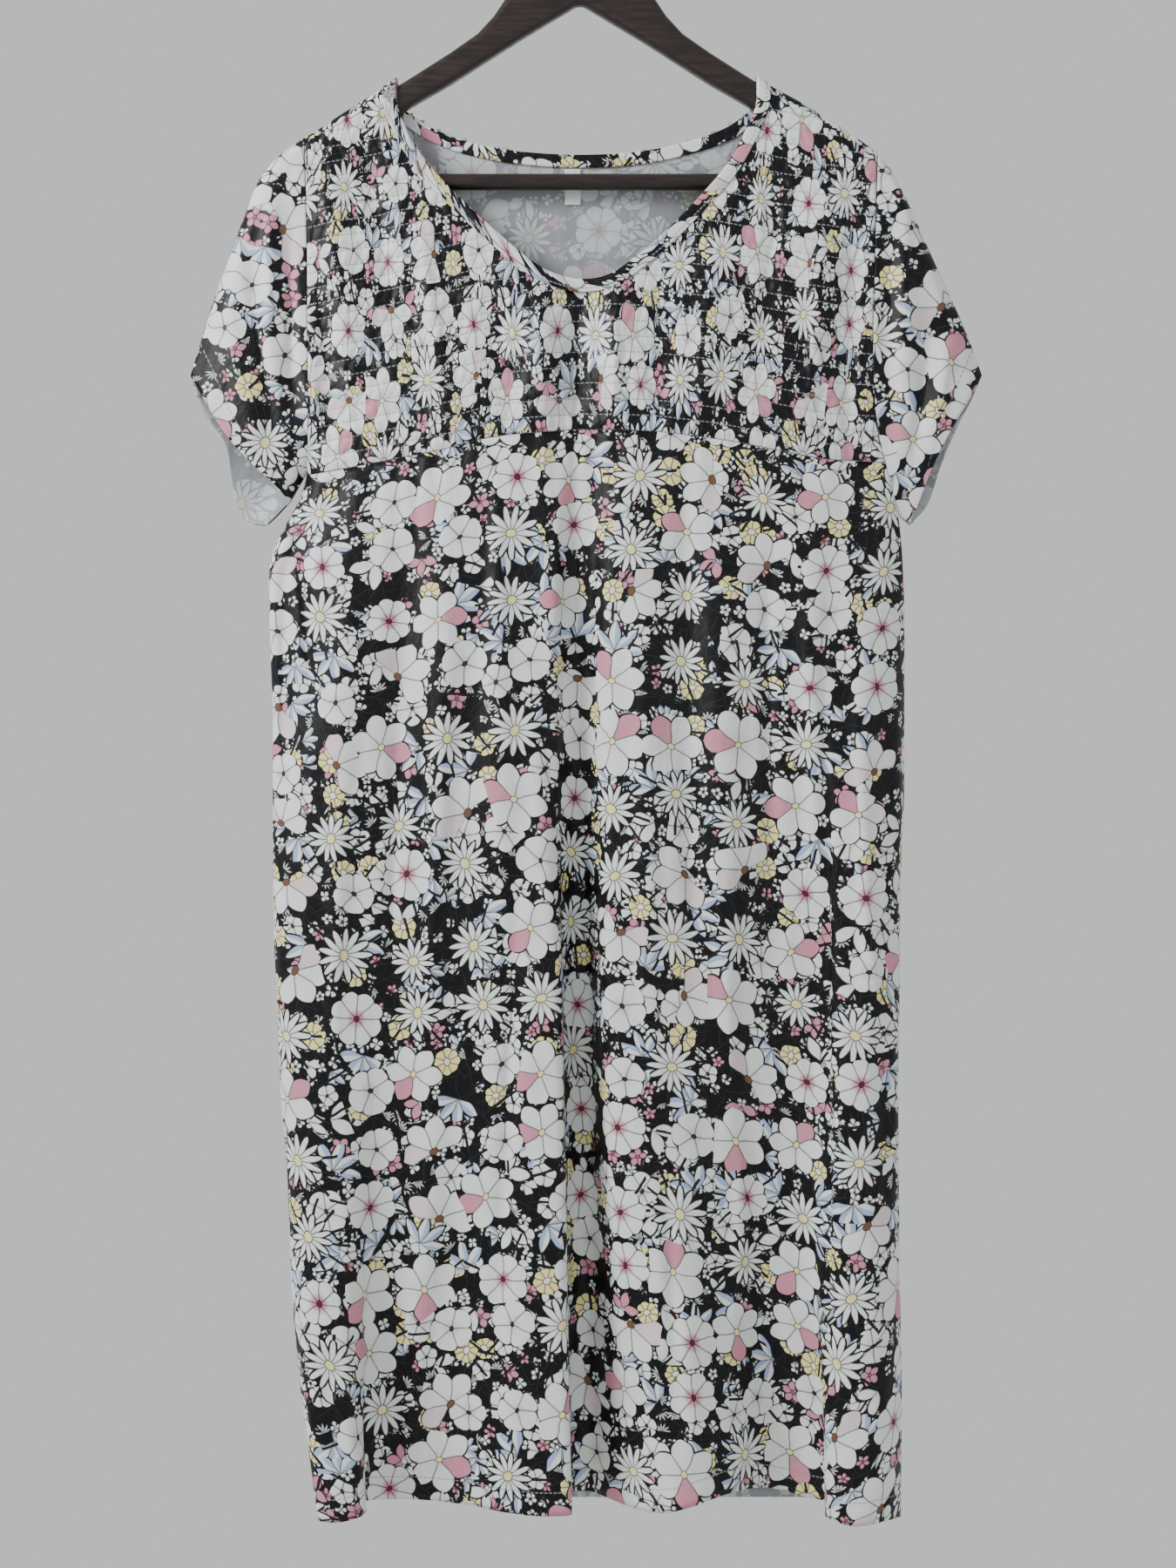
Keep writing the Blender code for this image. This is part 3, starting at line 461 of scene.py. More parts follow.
@dataclass
class ClothGrid:
    """Points of a cloth in rows and columns, with the marks that its finish reads."""

    points: list[list[Vector]]
    places: list[list[Row]] | None = None
    print_start: tuple[float, float] = (0.0, 0.0)
    stitch: Callable[[int, int, Row], Row] | None = None
    flip: bool = False
    closed: bool = False

    @property
    def columns(self) -> int:
        """Number of steps across."""
        return len(self.points[0]) - 1

    @property
    def rows(self) -> int:
        """Number of steps down."""
        return len(self.points) - 1

    def flat(self) -> list[list[Row]]:
        """Lays the cloth flat.

        Returns:
            For each point, its place (across, down, 0) on the cut cloth in millimetres.
        """
        if self.places:
            return self.places
        middle = self.columns // 2
        place = [[(0.0, 0.0, 0.0)] * (self.columns + 1) for _ in self.points]
        down = [0.0] * (self.columns + 1)
        for j, row in enumerate(self.points):
            across = [0.0] * (self.columns + 1)
            for i in range(middle + 1, self.columns + 1):
                across[i] = across[i - 1] + (row[i] - row[i - 1]).length
            for i in range(middle - 1, -1, -1):
                across[i] = across[i + 1] - (row[i + 1] - row[i]).length
            for i in range(self.columns + 1):
                if j:
                    down[i] += (row[i] - self.points[j - 1][i]).length
                place[j][i] = (
                    across[i] / MM + self.print_start[0], down[i] / MM + self.print_start[1], 0.0
                )
        return place

    def area(self) -> float:
        """Area of the cloth in square metres."""
        total = 0.0
        for upper, lower in zip(self.points, self.points[1:]):
            for a, b, c, d in zip(upper, upper[1:], lower[1:], lower):
                total += ((b - a).cross(c - a).length + (c - a).cross(d - a).length) / 2
        return total

    def build(self, name: str, finishes: Sequence[bpy.types.Material], wall: float = WALL) -> bpy.types.Object:
        """Makes the cloth as an object with a thin wall.

        Args:
            name: The piece's name.
            finishes: Material of the outer face, then of the inner one.
            wall: Thickness in millimetres.

        Returns:
            The new object.
        """
        shape = bmesh.new()
        bmesh.ops.create_grid(shape, x_segments=self.columns, y_segments=self.rows, size=0.5)
        flat_layer = shape.verts.layers.float_vector.new("flat_cloth")
        stitch_layer = shape.verts.layers.float_vector.new("stitch_line")
        places = self.flat()
        for vert in shape.verts:
            i = round((vert.co.x + 0.5) * self.columns)
            j = round((0.5 - vert.co.y) * self.rows)
            vert.co = self.points[j][i]
            vert[flat_layer] = places[j][i]
            vert[stitch_layer] = self.stitch(i, j, places[j][i]) if self.stitch else (0.0, 99.0, 0.0)
        if self.closed:
            bmesh.ops.remove_doubles(shape, verts=shape.verts, dist=1e-6)
        if self.flip:
            bmesh.ops.reverse_faces(shape, faces=shape.faces)
        mesh = bpy.data.meshes.new(name)
        shape.to_mesh(mesh)
        shape.free()
        mesh.shade_smooth()
        piece = bpy.data.objects.new(name, mesh)
        bpy.context.scene.collection.objects.link(piece)
        for finish in finishes:
            mesh.materials.append(finish)
        solid = piece.modifiers.new("wall", "SOLIDIFY")
        solid.thickness = wall * MM
        solid.offset = 0.0
        solid.use_quality_normals = True
        solid.material_offset = len(finishes) - 1
        return piece


@dataclass
class NeckOpening:
    """The V neck and the shallow back neck, and how their edges run."""

    edges: dict[tuple[bool, float], list[Row]] = field(default_factory=dict)
    arrays: dict[tuple[bool, float], np.ndarray] = field(default_factory=dict)

    @cached_property
    def front(self) -> list[Row]:
        """Inner edge of the binding at the front, from left to right."""
        return along(NECK_FRONT, 120)

    @cached_property
    def back(self) -> list[Row]:
        """Inner edge of the binding at the back, from left to right."""
        return along(NECK_BACK, 90)

    def edge(self, at_front: bool, out: float) -> list[Row]:
        """The edge moved outwards.

        Args:
            at_front: Whether it is the front's edge.
            out: Distance from the inner edge in millimetres.

        Returns:
            Points (x, z) from left to right.
        """
        if (at_front, out) not in self.edges:
            self.edges[at_front, out] = moved_out(self.front if at_front else self.back, out)
            self.arrays[at_front, out] = np.array(self.edges[at_front, out])
        return self.edges[at_front, out]

    def opened(self, at_front: bool, x: float, z: float, out: float) -> tuple[bool, float, float, float]:
        """Says whether a point lies in the opening.

        Args:
            at_front: Whether the point is on the front.
            x: Across.
            z: Height.
            out: How far out from the inner edge the opening is taken.

        Returns:
            Whether it is inside, the nearest point of the edge (x, z), and the distance to it.
        """
        line = self.edge(at_front, out)
        if z < line[len(line) // 2][1] - 40 or abs(x) > 190:
            return False, x, z, 99.0
        ends = self.arrays[at_front, out]
        start, run = ends[:-1], ends[1:] - ends[:-1]
        reach = np.clip(((x - start[:, 0]) * run[:, 0] + (z - start[:, 1]) * run[:, 1]) / (run ** 2).sum(1), 0, 1)
        spots = start + run * reach[:, None]
        away = (x - spots[:, 0]) ** 2 + (z - spots[:, 1]) ** 2
        place = int(away.argmin())
        turn = (x - start[place, 0]) * run[place, 1] - (z - start[place, 1]) * run[place, 0]
        best = (float(away[place]), float(spots[place, 0]), float(spots[place, 1]), float(turn))
        left, right = line[0], line[-1]
        if z > left[1] and x < 0:
            return x > left[0], left[0], z, abs(x - left[0])
        if z > right[1] and x > 0:
            return x < right[0], right[0], z, abs(x - right[0])
        return best[3] < 0, best[1], best[2], math.sqrt(best[0])


@dataclass
class LowerFront:
    """The front below the bust seam, which hangs in a deep middle pleat and soft side folds."""

    columns: int = 240
    rows: int = 150

    @cached_property
    def levels(self) -> list[list[Row]]:
        """Sections at the seam, at two heights and at the hem, as evenly spaced points."""
        seam = [(row[0], 0.0, bust_seam(row[0])) for row in FRONT]
        upper = [(row[1], row[2], UPPER_Z) for row in FRONT]
        middle = [(row[3], row[4], MIDDLE_Z) for row in FRONT]
        hem = [(row[5], row[6], row[7]) for row in FRONT]
        found = [along(level, self.columns) for level in (seam, upper, middle, hem)]
        for place, (x, _, _) in enumerate(found[0]):
            z = bust_seam(x) - SEAM_GAP
            found[0][place] = (x, yoke_y(x, z), z)
        return found

    @cached_property
    def runs(self) -> list[tuple[Smooth, Smooth]]:
        """For each column, its x and its y by height."""
        found = []
        for place in range(self.columns + 1):
            rows = [level[place] for level in reversed(self.levels)]
            found.append((Smooth([(z, x) for x, _, z in rows]), Smooth([(z, y) for _, y, z in rows])))
        return found

    @cached_property
    def outlines(self) -> tuple[Smooth, Smooth]:
        """The outermost x of each side by height, before it is brought to the measured outline."""
        near = int(self.columns * 0.135)
        heights = [-1212 + 14 * step for step in range(57)]
        left = [(z, min(self.runs[i][0](z) for i in range(0, near, 3))) for z in heights]
        right = [(z, max(self.runs[self.columns - i][0](z) for i in range(0, near, 3))) for z in heights]
        return Smooth(left), Smooth(right)

    def plain(self, place: int, share: float) -> Row:
        """A point (x, y, z) of one column, without the small creases.

        Args:
            place: The column.
            share: 0 at the bust seam and 1 at the hem.

        Returns:
            The point in millimetres.
        """
        top, bottom = self.levels[0][place][2], self.levels[3][place][2]
        z = top + (bottom - top) * share
        x, y = self.runs[place][0](z), self.runs[place][1](z)
        across = place / self.columns
        if across < 0.25:
            x += (left_edge(z) - self.outlines[0](z)) * ease(1 - across / 0.25)
        if across > 0.75:
            x += (right_edge(z) - self.outlines[1](z)) * ease((across - 0.75) / 0.25)
        return x, y, z

    def side(self, side: Side, z: float) -> tuple[float, float]:
        """The side edge at a height.

        Args:
            side: Which side.
            z: Height.

        Returns:
            The edge's (x, y).
        """
        place = 0 if side is Side.LEFT else self.columns
        top, bottom = self.levels[0][place][2], self.levels[3][place][2]
        x, y, _ = self.plain(place, min(1.0, max(0.0, (z - top) / (bottom - top))))
        return x, y

    def point(self, place: int, share: float) -> Vector:
        """A point of the cloth with its creases, in metres."""
        x, y, z = self.plain(place, share)
        across = place / self.columns
        inside = ease(min(across, 1 - across) / 0.04)
        from_seam = ease(share / 0.05)
        gathers = 0.9 * math.sin(x / 3.1 + 2.2 * math.sin(x / 19)) * math.exp(-share * 16) * ease(share / 0.006)
        y -= (creased(FRONT_CREASES, x, z) * from_seam + gathers) * inside
        return seen(x, y, z)

    def grid(self) -> ClothGrid:
        """The whole cloth."""
        points = [[self.point(i, j / self.rows) for i in range(self.columns + 1)] for j in range(self.rows + 1)]
        return ClothGrid(points, print_start=(0.0, 300.0), stitch=self.stitching)

    def stitching(self, i: int, j: int, flat: Row) -> Row:
        """Marks the hem's line of stitching."""
        return flat[0], (1 - j / self.rows) * 790.0 - 17.0, 1.0


@dataclass
class Back:
    """The back: it passes over the hanger, follows the armholes and hangs to the hem."""

    front: LowerFront
    neck: NeckOpening
    columns: int = 190
    over_rows: int = 26
    lower_rows: int = 165

    def shares(self) -> list[float]:
        """Share of the width at each column, closer together near the sides."""
        found = []
        for i in range(self.columns + 1):
            t = i / self.columns
            found.append(t - 0.75 / (2 * math.pi) * math.sin(2 * math.pi * t))
        return found

    def spot(self, share: float, row: int) -> Row:
        """A point of the back before the neck is cut.

        Args:
            share: Share of the width.
            row: Row from the front of the board downwards.

        Returns:
            The point (x, y, z) in millimetres.
        """
        left, right = left_edge(-190), right_edge(-190)
        x = left + (right - left) * share
        if row <= self.over_rows:
            return over_arm(x, -88 + 178 * row / self.over_rows)
        top = shoulder(x) - OVER_RISE
        fall = (row - self.over_rows) / self.lower_rows
        underarm = LEFT_UNDERARM + (RIGHT_UNDERARM - LEFT_UNDERARM) * share
        hem = -1196 - 14 * math.exp(-(((share - 0.36) / 0.035) ** 2))
        if fall < 0.28:
            z = top + (underarm - top) * (fall / 0.28)
        else:
            z = underarm + (hem - underarm) * ((fall - 0.28) / 0.72)
        left, right = left_edge(z), right_edge(z)
        x = left + (right - left) * share
        y = back_y(x, z) + SEAM_GAP
        inside = ease(min(share, 1 - share) / 0.06) * ease(fall / 0.05)
        y += creased(BACK_CREASES, x, z) * inside
        side = Side.LEFT if share < 0.5 else Side.RIGHT
        seam_top = LEFT_UNDERARM if side is Side.LEFT else RIGHT_UNDERARM
        near = ease(1 - min(share, 1 - share) / 0.02) * ease((seam_top - z) / 12)
        if near > 0:
            edge_x, edge_y = self.front.side(side, z)
            edge_y += 0.5 - 1.6 * ease(1 - min(share, 1 - share) / 0.004)
            x, y = x + (edge_x - x) * near, y + (edge_y + 0.6 - y) * near
        return x, y, z

    def grid(self) -> ClothGrid:
        """The whole cloth, with the neck's points drawn onto its edge."""
        shares = self.shares()
        points = []
        for row in range(self.over_rows + self.lower_rows + 1):
            line = []
            for share in shares:
                x, y, z = self.spot(share, row)
                line.append(seen(x, y, z))
            points.append(line)
        return ClothGrid(points, print_start=(1700.0, 2300.0), stitch=self.stitching, flip=True)

    def stitching(self, i: int, j: int, flat: Row) -> Row:
        """Marks the hem's line of stitching."""
        share = (self.over_rows + self.lower_rows - j) / self.lower_rows
        return flat[0], share * 1030.0 - 17.0, 1.0

    def opened(self, share: float, row: int) -> bool:
        """Whether the neck opening takes away a point of the back."""
        x, _, z = self.spot(share, row)
        if row <= self.over_rows:
            middle = self.neck.edge(False, 4.0)
            return middle[0][0] < x < middle[-1][0]
        return self.neck.opened(False, x, z, 4.0)[0]


@dataclass
class Yoke:
    """The front above the bust seam, gathered on rows of elastic thread that run parallel to the seam."""

    neck: NeckOpening
    columns: int = 240
    rows: int = 184
    top_row: float = 26.0
    gathered: float = 0.63

    def spot(self, u: float, v: float) -> tuple[float, float, float]:
        """A place on the yoke.

        Args:
            u: 0 at the left armhole and 1 at the right one.
            v: 0 at the top and 1 at the bust seam.

        Returns:
            Its x, its z and the row of stitching it lies by, counted up from the seam.
        """
        line = self.top_row * (1 - v)
        x = -202 + 428 * u
        z = bust_seam(x) + SHIRR_PITCH * line
        for _ in range(2):
            left, right = left_edge(z), right_edge(z)
            x = left + (right - left) * u
            z = bust_seam(x) + SHIRR_PITCH * line
        return x, z, line

    def point(self, x: float, z: float, line: float) -> Vector:
        """A point of the cloth in metres, puffed between the rows and rippled by the gathers."""
        left, right = left_edge(z), right_edge(z)
        _, _, _, from_neck = self.neck.opened(True, x, z, 4.0)
        from_edge = min(x - left, right - x, (z - bust_seam(x)) * 1.2, shoulder(x) - OVER_RISE - z + 2)
        keep = ease(from_edge / 5) * (0.25 + 0.75 * ease((from_neck - 2) / 9))
        puff = abs(math.sin(math.pi * line)) ** 0.8
        phase = 2.4 * math.sin(line * 2.17) + 1.8 * math.sin(x / 27 + line * 0.6)
        ripple = math.sin(x * 2 * math.pi / 7.6 + phase) * 0.42 + math.sin(x * 2 * math.pi / 17 - 1.3 * phase) * 0.3
        rise = 0.85 * puff + ripple * (0.3 + 0.7 * puff)
        y = yoke_y(x, z) - creased(YOKE_CREASES, x, z) * ease(from_edge / 14) - rise * keep
        return seen(x, y, z)

    def grid(self) -> ClothGrid:
        """The whole yoke, with the points near the neck's edge drawn onto it."""
        points, places = [], []
        for j in range(self.rows + 1):
            spots = [self.spot(i / self.columns, j / self.rows) for i in range(self.columns + 1)]
            points.append([self.point(*spot) for spot in spots])
            places.append([(x / self.gathered + 900.0, z + 1100.0, 0.0) for x, z, _ in spots])
        return ClothGrid(points, places, stitch=self.stitching)

    def stitching(self, i: int, j: int, flat: Row) -> Row:
        """Marks each row of stitching by how far the point lies from the nearest one."""
        line = self.top_row * (1 - j / self.rows)
        return flat[0] * self.gathered, line * SHIRR_PITCH, 0.0

    def gone(self, i: int, j: int) -> bool:
        """Whether the neck or the shoulder takes away a point of the yoke."""
        x, z, _ = self.spot(i / self.columns, j / self.rows)
        return z > shoulder(x) - OVER_RISE + 1.5 or self.neck.opened(True, x, z, 4.0)[0]


@dataclass
class Sleeve:
    """A short wide sleeve, from its armhole to its open hem."""

    side: Side
    around: int = 176
    rows: int = 64

    @cached_property
    def fold(self) -> tuple[Smooth, Smooth]:
        """x and z of the upper fold by share of the length."""
        rows = LEFT_FOLD if self.side is Side.LEFT else RIGHT_FOLD
        return Smooth(rows, 1), Smooth(rows, 2)

    @cached_property
    def hems(self) -> tuple[tuple[Smooth, ...], tuple[Smooth, ...]]:
        """x, y and z of the hem, at the front and at the back."""
        left = self.side is Side.LEFT
        front, back = (LEFT_HEM_FRONT, LEFT_HEM_BACK) if left else (RIGHT_HEM_FRONT, RIGHT_HEM_BACK)
        return tuple(Smooth(front, c) for c in (1, 2, 3)), tuple(Smooth(back, c) for c in (1, 2, 3))

    def armhole(self, share: float) -> Row:
        """A point of the armhole.

        Args:
            share: 0 at the top, -1 down the front and 1 down the back at the underarm.

        Returns:
            The point in millimetres.
        """
        left = self.side is Side.LEFT
        sign = self.side.value
        edge, top_x = (left_edge, LEFT_TOP_X) if left else (right_edge, RIGHT_TOP_X)
        seam = LEFT_UNDERARM if left else RIGHT_UNDERARM
        underarm = seam + WALL / 2 + SEAM_GAP
        over = 0.1
        if abs(share) <= over:
            _, y, z = over_arm(top_x, 90 * share / over)
            return edge(z) + sign * SEAM_GAP, y, z
        start = shoulder(top_x) - OVER_RISE
        run = (abs(share) - over) / (1 - over)
        z = start + (underarm - start) * math.sin(min(1.0, run) * math.pi / 2) ** 1.2
        x = edge(z)
        y = yoke_y(x, z) if share < 0 else back_y(x, z) + SEAM_GAP
        closing = 1 - edge_share(z, seam)
        if run > 0.999:
            y = LEFT_SIDE_Y if left else RIGHT_SIDE_Y
        return x + sign * (SEAM_GAP + WALL * closing), y, z

    def point(self, u: float, v: float) -> Vector:
        """A point of the sleeve in metres, round from the underarm along the front, over and down the back."""
        share = 2 * u - 1
        fall = abs(share)
        start = self.armhole(share)
        rows = self.hems[0] if share < 0 else self.hems[1]
        end = tuple(column(fall) for column in rows)
        top_start = self.armhole(0.0)
        top_end = tuple(column(0.0) for column in self.hems[0])
        keep = (1 - fall) ** 2
        x = start[0] + (end[0] - start[0]) * v
        z = start[2] + (end[2] - start[2]) * v
        x += (self.fold[0](v) - top_start[0] - (top_end[0] - top_start[0]) * v) * keep
        z += (self.fold[1](v) - top_start[2] - (top_end[2] - top_start[2]) * v) * keep
        y = start[1] + (end[1] - start[1]) * v
        out = -1 if share < 0 else 1
        calm = ease(fall / 0.2) * ease((1 - fall) / 0.15) * ease(v / 0.12)
        y += out * creased(SLEEVE_CREASES, x, z) * calm
        return seen(x, y, z)

    def grid(self) -> ClothGrid:
        """The whole sleeve."""
        points = [
            [self.point(i / self.around, j / self.rows) for i in range(self.around + 1)] for j in range(self.rows + 1)
        ]
        places = [[self.place(i / self.around, spot) for i, spot in enumerate(row)] for row in points]
        return ClothGrid(points, places, stitch=self.stitching, closed=True, flip=self.side is Side.LEFT)

    def place(self, u: float, spot: Vector) -> Row:
        """Lays a point of the sleeve flat, with the print running down its length.

        Args:
            u: Share round the sleeve.
            spot: The point in metres.

        Returns:
            Its place on the flat cloth in millimetres.
        """
        top, end = self.point(0.5, 0.0), self.point(0.5, 1.0)
        run = (end - top).normalized()
        away = spot - top
        down = away.x * run.x + away.z * run.z
        across = abs(away.x * run.z - away.z * run.x) * (-1 if u < 0.5 else 1)
        start = 500.0 if self.side is Side.LEFT else 2500.0
        return start + across / MM, 3300.0 + down / MM, 0.0

    def stitching(self, i: int, j: int, flat: Row) -> Row:
        """Marks the hem's line of stitching."""
        return flat[0], (1 - j / self.rows) * 150.0 - 14.0, 1.0


@dataclass
class Binding:
    """The band folded round the neck's edge, with a line of stitching along it."""

    neck: NeckOpening
    folds: int = 14
    outer_gap: float = 1.75

    def centre(self) -> list[tuple[Vector, Vector, Vector]]:
        """The neck's edge all round.

        Returns:
            For each step, the edge point, the way out from the opening and the way out of the cloth.
        """
        found = []

        def station(at: Callable[[float], Row], depth_sign: float) -> None:
            inner, outer = seen(*at(0.0)), seen(*at(BINDING_WIDTH))
            found.append((inner, outer, Vector((0, depth_sign, 0))))

        front_edges = {out: self.neck.edge(True, out) for out in (0.0, BINDING_WIDTH)}
        back_edges = {out: self.neck.edge(False, out) for out in (0.0, BINDING_WIDTH)}

        def on_front(place: int, out: float) -> Row:
            x, z = front_edges[out][place]
            return x, yoke_y(x, z), z

        def on_back(place: int, out: float) -> Row:
            x, z = back_edges[out][place]
            return x, back_y(x, z) + SEAM_GAP, z

        for place in range(len(front_edges[0.0])):
            station(lambda out, p=place: on_front(p, out), -1.0)
        turns = [-72 + 12 * step for step in range(13)]
        for turn in turns:
            station(lambda out, t=turn: over_arm(NECK_FRONT[-1][0] + out, t), 0.0)
            found[-1] = (*found[-1][:2], Vector((0, math.sin(math.radians(turn)), math.cos(math.radians(turn)))))
        for place in range(len(back_edges[0.0]) - 1, -1, -1):
            station(lambda out, p=place: on_back(p, out), 1.0)
        for turn in reversed(turns):
            station(lambda out, t=turn: over_arm(NECK_FRONT[0][0] - out, t), 0.0)
            found[-1] = (*found[-1][:2], Vector((0, math.sin(math.radians(turn)), math.cos(math.radians(turn)))))
        found.append(found[0])
        return found

    def grid(self) -> ClothGrid:
        """The band: down its inner face, round the edge and down its outer face."""
        points: list[list[Vector]] = [[] for _ in range(self.folds + 1)]
        for inner, outer, face in self.centre():
            away = outer - inner
            for j in range(self.folds + 1):
                t = j / self.folds
                if t < 0.42:
                    reach, lift = 1 - t / 0.42, -1.0
                elif t > 0.58:
                    reach, lift = (t - 0.58) / 0.42, 1.0
                else:
                    turn = (t - 0.42) / 0.16 * math.pi
                    reach, lift = -0.09 * math.sin(turn), -math.cos(turn)
                gap = self.outer_gap - 0.35 * math.exp(-((reach - 0.72) / 0.12) ** 2)
                points[j].append(inner + away * reach + face * lift * gap * MM)
        return ClothGrid(points, print_start=(3100.0, 500.0), stitch=self.stitching, closed=True)

    def stitching(self, i: int, j: int, flat: Row) -> Row:
        """Marks the line of stitching by its distance from the outer edge."""
        return flat[0], (1 - j / self.folds) * BINDING_WIDTH * 2.3 - 2.6, 1.0


@dataclass
class SizeLabel:
    """The bare size label, a short tape sewn in under the band at the back of the neck."""

    left: float = -11.6
    top: float = -210.5
    width: float = 12.0
    height: float = 26.0
    wall: float = 0.4
    bow: float = 0.7
    columns: int = 12
    rows: int = 26

    def point(self, u: float, v: float) -> Vector:
        """A point of the tape, which lies on the back and bows a little towards its free end.

        Args:
            u: Share of the way across.
            v: Share of the way down.

        Returns:
            The point in metres.
        """
        x, z = self.left + self.width * u, self.top - self.height * v
        lift = WALL / 2 + SEAM_GAP + self.wall / 2 + self.bow * v ** 2 * (1 - (2 * u - 1) ** 2)
        return seen(x, back_y(x, z) - lift, z)

    def grid(self) -> ClothGrid:
        """The tape's points."""
        across = [i / self.columns for i in range(self.columns + 1)]
        return ClothGrid([[self.point(u, j / self.rows) for u in across] for j in range(self.rows + 1)])


class Paint:
    """Builds a node tree in the order that its colours are worked out."""

    def __init__(self, tree: bpy.types.NodeTree) -> None:
        """Starts on an empty tree.

        Args:
            tree: The tree that the nodes go into.
        """
        self.tree = tree

    def node(self, kind: str, settings: dict[str, Any] | None = None, **inputs: Any) -> bpy.types.Node:
        """Adds a node.

        Args:
            kind: The node's type.
            settings: Its own properties.
            inputs: A value or a socket for each input, named or as i0, i1 and so on.

        Returns:
            The new node.
        """
        made = self.tree.nodes.new(kind)
        for key, setting in (settings or {}).items():
            setattr(made, key, setting)
        for key, given in inputs.items():
            place = int(key[1:]) if key[0] == "i" and key[1:].isdigit() else key.replace("_", " ")
            if isinstance(given, bpy.types.NodeSocket):
                self.tree.links.new(given, made.inputs[place])
            else:
                made.inputs[place].default_value = given
        return made

    def math(self, operation: str, *values: Any) -> bpy.types.NodeSocket:
        """Works out a number from numbers."""
        inputs = {f"i{place}": given for place, given in enumerate(values)}
        return self.node("ShaderNodeMath", {"operation": operation}, **inputs).outputs[0]

    def vector(self, operation: str, *values: Any) -> bpy.types.NodeSocket:
        """Works out a vector, or a number for a length or a product."""
        inputs = {f"i{place}": given for place, given in enumerate(values)}
        made = self.node("ShaderNodeVectorMath", {"operation": operation}, **inputs)
        return made.outputs[1 if operation in ("LENGTH", "DISTANCE", "DOT_PRODUCT") else 0]

    def smooth(self, given: Any, low: Any, high: Any) -> bpy.types.NodeSocket:
        """A soft step of a number between two limits."""
        made = self.node("ShaderNodeMapRange", {"interpolation_type": "SMOOTHSTEP"}, i0=given, i1=low, i2=high)
        return made.outputs[0]

    def over(self, share: Any, under: Any, upper: Any) -> bpy.types.NodeSocket:
        """A colour laid over another by a share."""
        made = self.node("ShaderNodeMix", {"data_type": "RGBA"})
        for place, given in ((0, share), (6, under), (7, upper)):
            if isinstance(given, bpy.types.NodeSocket):
                self.tree.links.new(given, made.inputs[place])
            else:
                made.inputs[place].default_value = given
        return made.outputs[2]


def tint(code: str) -> tuple[float, float, float, float]:
    """Turns a colour code into linear light.

    Args:
        code: Six hexadecimal digits of an sRGB colour.

    Returns:
        Red, green, blue and 1.
    """
    parts = [int(code[place:place + 2], 16) / 255 for place in (0, 2, 4)]
    linear = [part / 12.92 if part <= 0.04045 else ((part + 0.055) / 1.055) ** 2.4 for part in parts]
    return linear[0], linear[1], linear[2], 1.0


@dataclass(frozen=True)
class PrintColours:
    """The dyes of the print."""

    ground: str = "08080c"
    white: str = "dfe3e0"
    line: str = "2b2a33"
    pink: str = "c9899a"
    deep_pink: str = "a4566c"
    yellow: str = "e6dc9a"
    brown: str = "6d4b35"
    blue: str = "aebcd6"
    stitch: str = "8d9096"
    inner: str = "a4a8ad"


@dataclass(frozen=True)
class ClothFinish:
    """How one face of the jersey looks."""

    name: str
    printed: float
    roughness: float = 0.5
    shirred: bool = False


@dataclass(frozen=True)
class Motif:
    """One flower or sprig of the print, drawn as petals round a centre. Lengths are in millimetres."""

    share: float
    petals: int
    radius: float
    width: float
    belly: float = 1.5
    blunt: float = 0.5
    shown: float = 1.0
    accent: float = 0.0
    heart: float = 2.0
    halo: float = 0.0
    petal: str = "dfe3e0"
    other_half: str = "dfe3e0"
    heart_tint: str = "e6dc9a"


@dataclass(frozen=True)
class MotifLayer:
    """Motifs of about one size, scattered over the cloth at one spacing."""

    spacing: float
    scatter: float
    shift: tuple[float, float]
    motifs: tuple[Motif, ...]


